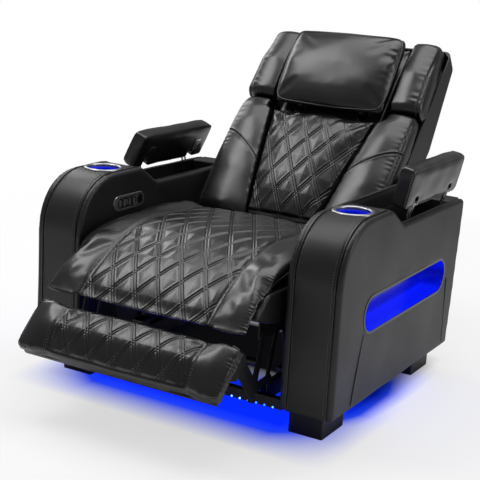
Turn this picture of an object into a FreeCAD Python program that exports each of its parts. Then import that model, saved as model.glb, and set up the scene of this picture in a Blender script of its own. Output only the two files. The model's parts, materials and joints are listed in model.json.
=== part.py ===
"""A home-theatre power recliner with storage arms, an opened footrest and a tilting headrest.

Millimetres. X runs to the right as seen from the front, Y to the back, Z up. The origin is on
the floor, midway between the arms and midway along them.
"""

import FreeCAD, Part
import math
import os

V = FreeCAD.Vector
AXIS_X = V(1, 0, 0)
AXIS_Y = V(0, 1, 0)
AXIS_Z = V(0, 0, 1)
os.makedirs("parts", exist_ok=True)

# Overall sizes
overall_width = 920.0
arm_width = 146.0
arm_front_y = -395.0
arm_rear_y = 375.0
arm_rear_lean = 40.0
arm_bottom_z = 78.0
deck_z = 560.0
rim_z = 510.0
nose_radius = 150.0
deck_end_y = -113.0
notch_foot_y = -36.0
board = 18.0
edge_bevel = 5.0
fit = 0.3
running = 0.05

# Feet
foot_width = 96.0
foot_depth = 124.0
foot_front_y = -335.0
foot_rear_y = 245.0
foot_bevel = 3.0

# Cup holders
cup_y = -203.0
cup_bore_r = 44.0
cup_wall = 2.0
cup_flange_r = 55.0
cup_flange = 5.0
cup_depth = 78.0
cup_light = 3.0
cup_light_r = 40.0

# Storage bins and lids
bin_front_y = -14.0
bin_rear_y = 345.0
bin_floor_z = 372.0
bin_wall = 4.0
lid_width = 116.0
lid_thickness = 47.0
lid_front_y = -25.0
lid_rear_y = 350.0
lid_gap = 3.0
lid_inset = 2.0
lid_round = 12.0
lid_pin_inset = 13.0
lid_pin_drop = 8.0
lid_pin_r = 3.0
lid_eye_r = 6.0
hinge_y = (40.0, 285.0)
hinge_ear = 6.0
hinge_tongue = 10.0
hinge_plate = 3.0
left_lid_open = 65.0
right_lid_open = 101.5

# Lit niches in the outer arm faces
niche_y = 24.0
niche_z = 310.0
niche_length = 548.0
niche_height = 96.0
niche_depth = 60.0
niche_wall = 3.0
niche_lip = 4.0

# Control panel on the inner face of the left arm
panel_y = -180.0
panel_z = 473.0
panel_length = 146.0
panel_height = 44.0
panel_plate = 3.0
panel_bevel = 1.2
inset_y = -190.0
inset_length = 88.0
inset_height = 29.0
inset_depth = 2.0
button_ys = (-222.0, -202.0, -177.0, -157.0)
button_names = ("recline_button", "upright_button", "head_forward_button", "head_back_button")
button_width = 11.0
button_height = 21.0
button_stem = 4.0
button_proud = 2.0
light_button_y = -189.5
light_button_width = 6.0
light_button_height = 14.0
socket_y = -128.6
socket_r = 14.0

# Base rails
rail_front_y = -375.0
rail_thick = 20.0
rail_z0 = 76.0
rail_z1 = 96.0
rear_rail_y = 328.0
rear_panel_y = 350.0
rear_panel_top = 330.0
strip_height = 7.0
strip_width = 8.0
inlet_z = 150.0
inlet_boss_r = 10.0
inlet_bore_r = 6.0
inlet_depth = 14.0
glide_width = 20.0
glide_top = 118.0
glide_wall = 2.5
shoe_cheek = 3.7
shoe_wall = 6.0
shoe_gap = 0.3
shoe_length = 52.0

# Seat frame
seat_side_gap = 14.0
frame_inset = 4.0
link = 4.0
layer_gap = 0.5
leg_ys = (-237.0, 123.0)
leg_width = 62.0
side_board = 30.0
frame_bottom = 300.0
frame_top = 380.0
skirt_front_y = -499.0
skirt_turn_y = -409.0
skirt_rise = 28.0
frame_rear_y = 90.0
front_board_y = -470.0
front_board = 22.0
middle_board_y = -398.0
middle_board = 18.0
cross_board_rise = 38.0
beam_ys = (-300.0, -76.0)
beam = 24.0
beam_height = 50.0
plate_rise = 36.0
rear_board_y = 45.0
rear_board = 20.0
webbing = 2.5
webbing_width = 48.0
webbing_xs = (-200.0, -100.0, 0.0, 100.0, 200.0)

# Seat cushion
quilt_half = 192.0
cushion_gap = 0.5
cushion_knee_y = -445.0
cushion_nose_y = -524.0
cushion_nose_drop = 61.0
cushion_bottom = frame_top + webbing + cushion_gap

# Footrest linkage, at rest, one side
pivot_r = 5.0
head_r = 7.5
head_thick = 1.5
side_play = 0.2
lobe_r = 12.0
front_pivot = (-410.5, 270.7)
front_link_length = 136.0
front_link_angle = 16.0
coupler_vector = (-84.0, 102.0)
rear_pivot_offset = (68.0, 6.0)
ottoman_link_offset = (-14.0, -24.0)
tube_radius = 9.0
tube_arm = 75.0
tube_angle = 6.0
rear_lobe_r = 8.0

# Footrest pad
ottoman_tilt = 46.0
ottoman_face = 68.0
ottoman_above = 11.6
ottoman_length = 157.0
ottoman_pad = 40.0
ottoman_board = 12.0
ottoman_board_inset = 16.0
ottoman_quilt_half = 205.0

# Back, in its own upright frame about the hinge
hinge_pos = (205.0, 380.0)
recline_rest = 42.0
back_pin_r = 8.0
back_lobe = 24.0
pad_rear = 37.0
quilt_front = 101.0
quilt_bottom_w = -26.0
quilt_top_w = 360.0
quilt_bottom_half = 112.0
quilt_top_half = 178.0
bolster_top_w = 402.0
wing_gap = 4.0
head_pad = 19.0
wing_bottom_w = 405.0
wing_top_w = 668.0
wing_swell = 3.0
wing_taper = 12.0
shell_inset = 2.0
shell_round = 22.0
shell_wall = 4.0
shell_bottom_w = -5.0
shell_low_n = 72.0
shell_full_n = 92.0
shell_full_w = 388.0
shell_top_n = 32.0
shell_top_w = 678.0
back_tube = 26.0
hinge_lobe = 4.0
hinge_gap = 2.0
frame_below_shell = 52.0
upright_bottom_w = 40.0
low_tube_w = 60.0
middle_tube_drop = 72.0
recline_bar = 70.0
recline_bar_angle = 3.5
recline_bar_r = 8.0

# Headrest
pillow_half = 190.0
pillow_bottom_w = 385.0
pillow_length = 266.0
pillow_rear = 74.0
pillow_thick = 46.0
pillow_tilt = 8.0
pillow_pin_w = 402.0
pillow_pin_n = 58.0
pillow_pin_r = 4.0
pillow_ear_x = 107.0
pillow_ear = 6.0
pillow_eye = 8.5

# Motors
motor_x = 90.0
track = 26.0
track_wall = 2.5
screw_r = 5.0
motor_y = -100.0
motor_length = 80.0
motor_width = 60.0
motor_can_r = 20.0
motor_can = 62.0
footrest_track_front_y = -398.0
footrest_screw_z = 249.0
footrest_reach = -92.0
footrest_slack = 2.5
recline_track_rear_y = 176.0
recline_screw_z = 259.0
recline_reach = 90.0
recline_slack = 1.5
yoke_cover = 12.0
yoke_prong = 6.0
yoke_width = 30.0
nut_length = 32.0
lug = 14.0


# Helpers

def save(node, shape):
    shape.exportStep("parts/" + node + ".step")


def box(x0, x1, y0, y1, z0, z1):
    return Part.makeBox(x1 - x0, y1 - y0, z1 - z0, V(x0, y0, z0))


def mirror(shape):
    return shape.mirror(V(0, 0, 0), AXIS_X)


def fuse(shapes):
    shape = shapes[0]
    for other in shapes[1:]:
        shape = shape.fuse(other)
    return shape.removeSplitter()


def cylinder_x(x0, x1, y, z, r):
    return Part.makeCylinder(r, x1 - x0, V(x0, y, z), AXIS_X)


def hexagon_x(x0, x1, y, z, r):
    """Hexagonal head or spacer along X, r from its middle to its corners."""
    turns = [math.radians(60 * i) for i in range(6)]
    corners = [V(x0, y + r * math.cos(t), z + r * math.sin(t)) for t in turns]
    return Part.Face(Part.makePolygon(corners + corners[:1])).extrude(V(x1 - x0, 0, 0))


def round_corner(points, i):
    """Start, middle and end of the arc at corner i of a closed outline; one point where it is sharp."""
    a, b, r = points[i]
    pa, pb, _ = points[i - 1]
    na, nb, _ = points[(i + 1) % len(points)]
    in_len = math.hypot(pa - a, pb - b)
    out_len = math.hypot(na - a, nb - b)
    ua, ub = (pa - a) / in_len, (pb - b) / in_len
    va, vb = (na - a) / out_len, (nb - b) / out_len
    angle = math.acos(max(-1.0, min(1.0, ua * va + ub * vb)))
    if r <= 0 or angle > math.pi - 1e-4:
        return [(a, b)]
    cut = r / math.tan(angle / 2)
    middle = math.hypot(ua + va, ub + vb)
    reach = r / math.sin(angle / 2) - r
    return [(a + ua * cut, b + ub * cut), (a + (ua + va) / middle * reach, b + (ub + vb) / middle * reach),
            (a + va * cut, b + vb * cut)]


def corner_wire(points, place):
    """Closed wire through corners (a, b, radius); place turns (a, b) into a point."""
    corners = [round_corner(points, i) for i in range(len(points))]
    wire = []
    for i, corner in enumerate(corners):
        if len(corner) == 3:
            wire.append(Part.Arc(*[place(*p) for p in corner]).toShape())
        a0, b0 = corner[-1]
        a1, b1 = corners[(i + 1) % len(corners)][0]
        if math.hypot(a1 - a0, b1 - b0) > 1e-4:
            wire.append(Part.makeLine(place(a0, b0), place(a1, b1)))
    return Part.Wire(wire)


def chord_wire(points, place):
    """A wire like corner_wire's for lofts, with each round corner drawn as two chords."""
    places = [place(*p) for i in range(len(points)) for p in round_corner(points, i)]
    return Part.makePolygon(places + places[:1])


def yz_wire(points, x=0.0):
    return corner_wire(points, lambda a, b: V(x, a, b))


def yz_prism(points, x0, x1):
    return Part.Face(yz_wire(points, x0)).extrude(V(x1 - x0, 0, 0))


def xz_prism(points, y0, y1):
    wire = corner_wire(points, lambda a, b: V(a, y0, b))
    return Part.Face(wire).extrude(V(0, y1 - y0, 0))


def racetrack(y, z, length, height, x0, x1):
    r = height / 2 - 0.01
    points = [(y - length / 2, z - height / 2, r), (y + length / 2, z - height / 2, r),
              (y + length / 2, z + height / 2, r), (y - length / 2, z + height / 2, r)]
    return yz_prism(points, x0, x1)


def capsule(p, q, r, x0, x1):
    """A flat bar with round ends between two points in the YZ plane."""
    length = math.hypot(q[0] - p[0], q[1] - p[1])
    ny, nz = -(q[1] - p[1]) / length * r, (q[0] - p[0]) / length * r
    corners = [V(x0, p[0] + ny, p[1] + nz), V(x0, q[0] + ny, q[1] + nz),
               V(x0, q[0] - ny, q[1] - nz), V(x0, p[0] - ny, p[1] - nz)]
    bar = Part.Face(Part.makePolygon(corners + corners[:1])).extrude(V(x1 - x0, 0, 0))
    ends = [cylinder_x(x0, x1, y, z, r) for y, z in (p, q)]
    return fuse([bar] + ends)


def swing(shape, degrees, y, z):
    """Turn about the leftward axis through (y, z): what hangs down swings to the front."""
    turned = shape.copy()
    turned.rotate(V(0, y, z), V(-1, 0, 0), degrees)
    return turned


def sense(degrees):
    """Unit vector that points down at 0 degrees and to the front at 90."""
    t = math.radians(degrees)
    return -math.sin(t), -math.cos(t)


def add(p, q):
    return p[0] + q[0], p[1] + q[1]


def loft(wires):
    return Part.makeLoft(wires, True, True)


def both(shape):
    return Part.makeCompound([shape, mirror(shape)])


# Widths that follow from the space between the arms

outer_x = overall_width / 2
inner_x = outer_x - arm_width
cushion_half = inner_x - seat_side_gap
seat_half = cushion_half - frame_inset
seat_plate_x = seat_half - side_board - link
glide_x = seat_plate_x - shoe_cheek - shoe_gap - glide_width
ottoman_board_half = cushion_half - ottoman_board_inset
bolster_half = cushion_half
wing_bottom_half = bolster_half + wing_swell
wing_top_half = bolster_half - wing_taper
shell_half = bolster_half - shell_inset
lobe_x = seat_plate_x - hinge_gap - hinge_lobe
upright_x = lobe_x - back_tube + 1.0


# Arms


def arm_points(notched, inset=0.0, bottom=arm_bottom_z):
    """Side outline of an arm panel; a notched one drops to the rim behind the cup."""
    top = deck_z - inset
    rear_top_y = arm_rear_y + arm_rear_lean
    points = [(arm_front_y + inset, bottom, 6.0), (arm_front_y + inset, top, nose_radius)]
    if notched:
        points += [(deck_end_y, top, 16.0), (notch_foot_y, rim_z - inset, 16.0),
                   (rear_top_y - inset, rim_z - inset, 12.0)]
    else:
        points += [(arm_rear_y - 20.0, top, 40.0), (rear_top_y - inset, rim_z - inset, 30.0)]
    points.append((arm_rear_y - inset, bottom, 6.0))
    return points


def bevel_side_edges(shape, x, size):
    """Bevel the edges of a panel that lie in the plane x."""
    edges = [e for e in shape.Edges
             if abs(e.BoundBox.XMin - x) < 1e-4 and abs(e.BoundBox.XMax - x) < 1e-4]
    return shape.makeChamfer(size, edges)


def outer_panel():
    panel = yz_prism(arm_points(True), outer_x - board, outer_x)
    panel = bevel_side_edges(panel, outer_x, edge_bevel)
    return panel.cut(racetrack(niche_y, niche_z, niche_length + 2 * fit, niche_height + 2 * fit,
                               outer_x - board - 1, outer_x + 1))


def inner_panel(notched):
    panel = yz_prism(arm_points(notched), inner_x, inner_x + board)
    return bevel_side_edges(panel, inner_x, edge_bevel)


def front_band():
    """The curved skin over the arm's front and cup deck, with the cup hole and notch step."""
    x0, x1 = inner_x + board, outer_x - board
    top = deck_z
    outside = [(arm_front_y, arm_bottom_z, 0), (arm_front_y, top, nose_radius),
               (deck_end_y, top, 16.0), (notch_foot_y, rim_z, 0), (notch_foot_y, rim_z - board, 0),
               (deck_end_y - 8.0, top - board, 6.0),
               (arm_front_y + board, top - board, nose_radius - board),
               (arm_front_y + board, arm_bottom_z, 0)]
    band = yz_prism(outside, x0, x1)
    x = (x0 + x1) / 2
    hole = Part.makeCylinder(cup_bore_r + cup_wall + fit, 3 * board, V(x, cup_y, top - 2 * board))
    return band.cut(hole)


def rear_panel():
    """Rear board of an arm with the short rim behind the lid."""
    x0, x1 = inner_x + board, outer_x - board
    lean = arm_rear_lean / (rim_z - arm_bottom_z)
    top_y = arm_rear_y + arm_rear_lean
    points = [(arm_rear_y, arm_bottom_z, 0), (top_y, rim_z, 0), (bin_rear_y + 2 * fit, rim_z, 0),
              (bin_rear_y + 2 * fit, rim_z - board, 0),
              (top_y - board - lean * board, rim_z - board, 0), (arm_rear_y - board, arm_bottom_z, 0)]
    return yz_prism(points, x0, x1)


def base_board():
    return box(inner_x + board, outer_x - board, arm_front_y + board, arm_rear_y - board - 1,
               arm_bottom_z, arm_bottom_z + board)


def storage_bin():
    x0, x1 = inner_x + board + fit, outer_x - board - fit
    top = rim_z - lid_gap
    outside = box(x0, x1, bin_front_y, bin_rear_y, bin_floor_z, top)
    inside = box(x0 + bin_wall, x1 - bin_wall, bin_front_y + bin_wall, bin_rear_y - bin_wall,
                 bin_floor_z + bin_wall, top + 1)
    return outside.cut(inside)


cup_x = outer_x - arm_width / 2
cup_floor = deck_z + cup_flange - cup_depth


def cup_holder():
    """Metal cup, revolved: a flange raised to a ridge, and a ledge round its floor level with the lens."""
    r0, r1, r2 = cup_bore_r, cup_bore_r + cup_wall, cup_flange_r
    well = cup_light_r + fit
    ledge = cup_floor + cup_light
    top = deck_z + cup_flange
    points = [V(0, 0, cup_floor - cup_wall), V(r1, 0, cup_floor - cup_wall), V(r1, 0, deck_z),
              V(r2, 0, deck_z), V((r0 + r2) / 2 + 1.5, 0, top), V(r0, 0, deck_z + 2), V(r0, 0, ledge),
              V(well, 0, ledge), V(well, 0, cup_floor), V(0, 0, cup_floor)]
    profile = Part.Face(Part.makePolygon(points + points[:1]))
    cup = profile.revolve(V(0, 0, 0), AXIS_Z, 360)
    cup.translate(V(cup_x, cup_y, 0))
    return cup


def cup_light_lens():
    """Frosted lens on the cup's floor, inside the ledge."""
    return Part.makeCylinder(cup_light_r, cup_light, V(cup_x, cup_y, cup_floor))


def niche_tray():
    """Racetrack tray let into the outer panel, with a thin lip round its mouth."""
    x0, x1 = outer_x - niche_depth, outer_x
    outside = racetrack(niche_y, niche_z, niche_length, niche_height, x0, x1)
    lip = racetrack(niche_y, niche_z, niche_length + 2 * niche_lip, niche_height + 2 * niche_lip,
                    x1, x1 + 1.5)
    inside = racetrack(niche_y, niche_z, niche_length - 2 * niche_wall,
                       niche_height - 2 * niche_wall, x0 + niche_wall, x1 + 3)
    return fuse([outside, lip]).cut(inside)


def niche_light():
    top = niche_z + niche_height / 2 - niche_wall
    half = (niche_length - niche_height) / 2
    x1 = outer_x - board
    return box(x1 - 10, x1, niche_y - half, niche_y + half, top - 4, top)


def foot(y):
    block = box(inner_x, inner_x + foot_width, y, y + foot_depth, 0, arm_bottom_z)
    return block.makeChamfer(foot_bevel, [e for e in block.Edges
                                          if abs(e.Vertexes[0].Z - e.Vertexes[1].Z) > arm_bottom_z / 2])


# Lids and their hinges

lid_pin_x = outer_x - lid_pin_inset
lid_top_z = rim_z + lid_gap + lid_thickness
lid_pin_z = lid_top_z - lid_pin_drop


def open_lid(shape, degrees):
    """Turn a closed right-hand lid outward about its pin."""
    turned = shape.copy()
    turned.rotate(V(lid_pin_x, 0, lid_pin_z), AXIS_Y, degrees)
    return turned


def lid_pad():
    """Crowned pad with round edges, drawn in at its ends, and two hinge pockets."""
    x0, x1 = outer_x - lid_inset - lid_width, outer_x - lid_inset
    z0, z1 = rim_z + lid_gap, lid_top_z
    wires = []
    for y, grow in ((lid_front_y, -5.0), (lid_front_y + 7, -1.0), (lid_front_y + 45, 0.0),
                    (lid_rear_y - 45, 0.0), (lid_rear_y - 7, -1.0), (lid_rear_y, -5.0)):
        r = lid_round
        points = [(x0 - grow, z0, 5.0), (x1 + grow, z0, 5.0), (x1 + grow, z1 + grow, r),
                  ((x0 + x1) / 2, z1 + grow + 1.0, 0), (x0 - grow, z1 + grow, r)]
        wires.append(chord_wire(points, lambda a, b, y=y: V(a, y, b)))
    pad = loft(wires)
    reach = 22.0
    for y in hinge_y:
        half = hinge_tongue / 2 + hinge_ear + 2.5
        pocket = box(lid_pin_x - reach, x1 + 5, y - half, y + half, z0 - 1, lid_pin_z + lid_eye_r + 0.5)
        pad = pad.cut(pocket)
    return pad


def hinge_bracket(y):
    """Two gooseneck ears on a plate inside the bin, with the hinge pin between them."""
    plate_x = outer_x - board - fit - bin_wall
    half = hinge_tongue / 2 + running
    points = [(plate_x, rim_z - 50.0, 0), (plate_x, rim_z + 8.0, 10.0),
              (lid_pin_x + 4.0, lid_pin_z, 0), (lid_pin_x - 4.0, lid_pin_z, 0),
              (plate_x - hinge_plate, rim_z + 8.0, 6.0), (plate_x - hinge_plate, rim_z - 50.0, 0)]
    solids = []
    for y0, y1 in ((y - half - hinge_ear, y - half), (y + half, y + half + hinge_ear)):
        ear = xz_prism(points, y0, y1)
        eye = Part.makeCylinder(5.0, y1 - y0, V(lid_pin_x, y0, lid_pin_z), AXIS_Y)
        solids += [ear, eye]
    foot_plate = box(plate_x - hinge_plate, plate_x, y - half - hinge_ear, y + half + hinge_ear,
                     rim_z - 50.0, rim_z - 24.0)
    pin = Part.makeCylinder(lid_pin_r, 2 * (half + hinge_ear), V(lid_pin_x, y - half - hinge_ear, lid_pin_z),
                            AXIS_Y)
    return fuse(solids + [foot_plate, pin])


def lid_leaf(y):
    """Tongue round the pin that runs inside the pad's pocket to a plate under the lid."""
    half = hinge_tongue / 2
    plate_top = rim_z + lid_gap
    far_x = lid_pin_x - 62.0
    near_x = lid_pin_x - 18.0
    points = [(far_x, plate_top - hinge_plate, 0), (near_x + 3.0, plate_top - hinge_plate, 6.0),
              (lid_pin_x + 4.0, lid_pin_z, 0), (lid_pin_x - 4.0, lid_pin_z, 0),
              (near_x, plate_top, 0), (far_x, plate_top, 0)]
    tongue = xz_prism(points, y - half, y + half)
    eye = Part.makeCylinder(lid_eye_r, 2 * half, V(lid_pin_x, y - half, lid_pin_z), AXIS_Y)
    plate = box(far_x, near_x - 6.0, y - 14.0, y + 14.0, plate_top - hinge_plate, plate_top)
    bore = Part.makeCylinder(lid_pin_r + running, 2 * half + 2, V(lid_pin_x, y - half - 1, lid_pin_z),
                             AXIS_Y)
    return fuse([tongue, eye, plate]).cut(bore)


# Base

def cross_rail(y):
    return box(-inner_x, inner_x, y, y + rail_thick, rail_z0, rail_z1)


def rear_cover():
    """Upholstered board between the arms at the back, with the power inlet's hole."""
    panel = box(-inner_x, inner_x, rear_panel_y, rear_panel_y + rail_thick, rail_z0, rear_panel_top)
    hole = Part.makeCylinder(inlet_boss_r + fit, 3 * rail_thick, V(0, rear_panel_y - rail_thick, inlet_z),
                             AXIS_Y)
    return panel.cut(hole)


def glide_rail():
    """Open steel channel that the seat glides along, between the two cross rails."""
    x0, x1 = glide_x, glide_x + glide_width
    outside = box(x0, x1, rail_front_y + rail_thick, rear_rail_y, rail_z0, glide_top)
    inside = box(x0 + glide_wall, x1 - glide_wall, rail_front_y, rear_rail_y + 1,
                 rail_z0 - 1, glide_top - glide_wall)
    return outside.cut(inside)


def power_box():
    body = box(-75, 75, rear_panel_y - 48, rear_panel_y, 112, 196)
    body = body.makeFillet(5.0, [e for e in body.Edges if e.BoundBox.YLength > 40])
    face = rear_panel_y + rail_thick
    boss = Part.makeCylinder(inlet_boss_r, face - rear_panel_y + 10, V(0, rear_panel_y - 10, inlet_z), AXIS_Y)
    bore = Part.makeCylinder(inlet_bore_r, inlet_depth + 1, V(0, face - inlet_depth, inlet_z), AXIS_Y)
    return fuse([body, boss]).cut(bore)


def floor_light():
    """Light strips under the front rail and under both arms."""
    front = box(-inner_x + 2, inner_x - 2, rail_front_y, rail_front_y + strip_width,
                rail_z0 - strip_height, rail_z0)
    y0, y1 = foot_front_y + foot_depth + 10, foot_rear_y - 10
    x = outer_x - 36.0
    side = box(x, x + strip_width, y0, y1, arm_bottom_z - strip_height, arm_bottom_z)
    return Part.makeCompound([front, side, mirror(side)])


# Control panel, on the left arm

panel_x = -inner_x


def racetrack_upright(y, width, height, gap=0.0, x0=panel_x - 1, x1=panel_x + panel_plate + 1):
    w, h = width + 2 * gap, height + 2 * gap
    r = w / 2 - 0.01
    points = [(y - w / 2, panel_z - h / 2, r), (y + w / 2, panel_z - h / 2, r),
              (y + w / 2, panel_z + h / 2, r), (y - w / 2, panel_z + h / 2, r)]
    return yz_prism(points, x0, x1)


def control_plate():
    plate = racetrack(panel_y, panel_z, panel_length, panel_height, panel_x, panel_x + panel_plate)
    plate = bevel_side_edges(plate, panel_x + panel_plate, panel_bevel)
    plate = plate.cut(racetrack(inset_y, panel_z, inset_length, inset_height,
                                panel_x + panel_plate - inset_depth, panel_x + panel_plate + 1))
    for y in button_ys:
        plate = plate.cut(racetrack_upright(y, button_width, button_height, fit))
    plate = plate.cut(racetrack_upright(light_button_y, light_button_width, light_button_height, fit))
    bore = cylinder_x(panel_x - 1, panel_x + panel_plate + 1, socket_y, panel_z, socket_r + fit)
    return plate.cut(bore)


def button(y, width, height):
    """Push button that slides in a pocket of the arm panel, with room behind for its travel."""
    return racetrack_upright(y, width, height, 0.0, panel_x - button_stem,
                             panel_x + panel_plate - inset_depth + button_proud)


def button_pockets(panel):
    deep = panel_x - button_stem - 3.0
    for y in button_ys:
        panel = panel.cut(racetrack_upright(y, button_width, button_height, fit, deep, panel_x + 1))
    panel = panel.cut(racetrack_upright(light_button_y, light_button_width, light_button_height, fit,
                                        deep, panel_x + 1))
    return panel.cut(cylinder_x(panel_x - 9.0, panel_x + 1, socket_y, panel_z, socket_r + fit))


def charge_socket():
    """Round power socket with a rectangular charging slot."""
    body = cylinder_x(panel_x - 8.0, panel_x + panel_plate, socket_y, panel_z, socket_r)
    cap = cylinder_x(panel_x + panel_plate - 1.0, panel_x + panel_plate + 1, socket_y, panel_z,
                     socket_r - 2.5)
    slot = box(panel_x - 6.0, panel_x + panel_plate + 1, socket_y - 3.0, socket_y + 3.0,
               panel_z - 6.5, panel_z + 6.5)
    return body.cut(cap).cut(slot)


# Seat frame and cushion

def seat_side_points():
    """Seat side plate: front lug for the links, two glide legs and the rear ear."""
    hy, hz = hinge_pos
    py, pz = front_pivot
    foot_z = glide_top + shoe_gap + 4.0
    low, high = pz - 16.7, frame_bottom + plate_rise
    front, rear = [(y - leg_width / 2, y + leg_width / 2) for y in leg_ys]
    return [(py - 17.5, low, 10), (front[0] - 38, low, 8), (front[0], foot_z, 10), (front[1], foot_z, 10),
            (front[1] + 38, low, 14), (rear[0] - 18, low, 14), (rear[0], foot_z, 10),
            (rear[1], foot_z, 10), (rear[1] + 24, low + 14, 20), (hy + 26, hz - 30, 24),
            (hy + 26, hz + 22, 22), (hy - 26, hz + 22, 22), (hy - 36, hz - 40, 30), (hy - 65, high, 12),
            (py - 17.5, high, 10)]


def seat_side_plate():
    plate = yz_prism(seat_side_points(), seat_plate_x, seat_plate_x + link)
    hy, hz = hinge_pos
    pins = [cylinder_x(seat_plate_x - 9.0, seat_plate_x, hy, hz, back_pin_r)]
    head_x = link_x + link + side_play
    for y, z in (front_pivot, add(front_pivot, rear_pivot_offset)):
        pins.append(cylinder_x(seat_plate_x + link, head_x, y, z, pivot_r))
        pins.append(hexagon_x(head_x, head_x + head_thick, y, z, head_r))
    return fuse([plate] + pins)


def glide_shoe(y):
    """Plastic saddle over the glide rail, screwed to a leg of the side plate."""
    x0 = glide_x - shoe_gap - shoe_wall
    top = glide_top + shoe_gap + shoe_wall + 8.0
    low = glide_top - 16.0
    half = shoe_length / 2
    block = box(x0, seat_plate_x, y - half, y + half, low, top)
    channel = box(glide_x - shoe_gap, glide_x + glide_width + shoe_gap, y - half - 1, y + half + 1,
                  low - 1, glide_top + shoe_gap)
    return block.cut(channel)


def frame_edge(y):
    """Height of the frame's top edge: level, then falling in front with the cushion."""
    fall = cushion_nose_drop / (cushion_knee_y - cushion_nose_y)
    return frame_top - max(0.0, cushion_knee_y - y) * fall


def seat_frame():
    """Wooden box frame: two side boards that rise at the front, cross boards and two beams."""
    x0, x1 = seat_half - side_board, seat_half
    low = frame_bottom + cross_board_rise
    side = [(skirt_front_y, frame_bottom + skirt_rise, 4), (skirt_turn_y, frame_bottom, 20),
            (frame_rear_y, frame_bottom, 4), (frame_rear_y, frame_top, 4),
            (cushion_knee_y, frame_top, 30), (skirt_front_y, frame_edge(skirt_front_y), 4)]
    board_r = yz_prism(side, x0, x1)
    front = box(-x0, x0, front_board_y, front_board_y + front_board, low, frame_edge(front_board_y))
    rear = box(-x0, x0, rear_board_y, rear_board_y + rear_board, frame_bottom, frame_top)
    beams = [box(-x0, x0, y, y + beam, frame_bottom, frame_bottom + beam_height) for y in beam_ys]
    middle = box(-x0, x0, middle_board_y, middle_board_y + middle_board, low, frame_top)
    frame = fuse([board_r, mirror(board_r), front, rear, middle] + beams)
    rebate = box(seat_plate_x, x0, skirt_front_y, frame_rear_y, frame_bottom - 1,
                 frame_bottom + plate_rise + fit)
    return frame.cut(rebate).cut(mirror(rebate))


def seat_webbing():
    """Elastic straps stretched over the frame under the cushion."""
    half = webbing_width / 2
    y0, y1 = middle_board_y, rear_board_y + rear_board
    return Part.makeCompound([box(x - half, x + half, y0, y1, frame_top, frame_top + webbing)
                              for x in webbing_xs])


def seat_wire(x, swell):
    """Side outline of the seat cushion: flat seat, round crest and a long front fall."""
    s = swell
    base = cushion_bottom
    nose_y, nose_z = cushion_nose_y, base - cushion_nose_drop
    points = [(nose_y + s * 0.2, nose_z, 0), (nose_y - 26, nose_z - 18 - s * 0.2, 0),
              (nose_y - 42 - s * 0.7, nose_z - 14 - s * 0.5, 6),
              (nose_y + 24 - s * 0.8, nose_z + 44 + s * 0.7, 90), (-404 - s * 0.5, base + 45 + s * 0.8, 90),
              (-318, base + 63 + s, 130), (-170, base + 61 + s, 0), (20, base + 49 + s * 0.8, 0),
              (frame_rear_y + 4 + s * 0.3, base + 37 + s * 0.5, 20), (frame_rear_y + 6, base, 0),
              (cushion_knee_y, base, 0)]
    return chord_wire(points, lambda a, b: V(x, a, b))


def seat_cushion():
    """Seat pad with a quilted middle between two side bolsters."""
    half, quilt = cushion_half, quilt_half
    stations = [(-half, -13.0), (-half + 8, -4.0), (-(half + quilt) / 2, 7.0), (-quilt - 8, -3.0),
                (-quilt, -9.0), (-quilt + 8, -2.0), (0.0, 5.0)]
    stations += [(-x, s) for x, s in reversed(stations[:-1])]
    return loft([seat_wire(x, s) for x, s in stations])


# Footrest linkage: parallelogram links, so every ratio is exact

link_x = seat_plate_x + link + layer_gap
coupler_x = link_x + link + layer_gap
ottoman_link_x = coupler_x + link + layer_gap
bracket_x = ottoman_link_x + link + layer_gap
rear_pivot = add(front_pivot, rear_pivot_offset)
arm_unit = sense(front_link_angle)
link_vector = (arm_unit[0] * front_link_length, arm_unit[1] * front_link_length)
knee = add(front_pivot, link_vector)
rear_knee = add(rear_pivot, link_vector)
ottoman_pivot = add(knee, coupler_vector)
lower_knee = add(knee, ottoman_link_offset)
lower_pivot = add(ottoman_pivot, ottoman_link_offset)
tube_unit = sense(tube_angle)
tube_pos = add(front_pivot, (tube_unit[0] * tube_arm, tube_unit[1] * tube_arm))


def hole_x(p, x0, x1, r=pivot_r):
    return cylinder_x(x0 - 1, x1 + 1, p[0], p[1], r + running)


def front_link():
    """Lower front link with the stub for the footrest link and a lobe for the cross tube."""
    x0, x1 = link_x, link_x + link
    bar = capsule(front_pivot, knee, lobe_r, x0, x1)
    stub = capsule(knee, lower_knee, 9.0, x0, x1)
    lobe = capsule(tube_pos, add(front_pivot, (link_vector[0] * 0.5, link_vector[1] * 0.5)),
                   tube_radius + 2.0, x0, x1)
    spacer = hexagon_x(x1, ottoman_link_x - side_play, lower_knee[0], lower_knee[1], head_r)
    pin = cylinder_x(x1, ottoman_link_x + link, lower_knee[0], lower_knee[1], pivot_r)
    plate = fuse([bar, stub, lobe, spacer, pin])
    return plate.cut(hole_x(front_pivot, x0, x1)).cut(hole_x(knee, x0, x1))


def rear_link():
    x0, x1 = link_x, link_x + link
    bar = capsule(rear_pivot, rear_knee, rear_lobe_r, x0, x1)
    return bar.cut(hole_x(rear_pivot, x0, x1)).cut(hole_x(rear_knee, x0, x1))


def coupler():
    """Upper link that carries the footrest, an L-shaped plate joining both lower links."""
    x0, x1 = coupler_x, coupler_x + link
    bar = capsule(knee, ottoman_pivot, lobe_r, x0, x1)
    toe = capsule(knee, rear_knee, lobe_r, x0, x1)
    pins = [cylinder_x(link_x, x0, p[0], p[1], pivot_r) for p in (knee, rear_knee)]
    return fuse([bar, toe] + pins).cut(hole_x(ottoman_pivot, x0, x1))


def ottoman_link():
    x0, x1 = ottoman_link_x, ottoman_link_x + link
    bar = capsule(lower_knee, lower_pivot, 9.0, x0, x1)
    return bar.cut(hole_x(lower_knee, x0, x1)).cut(hole_x(lower_pivot, x0, x1))


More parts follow.
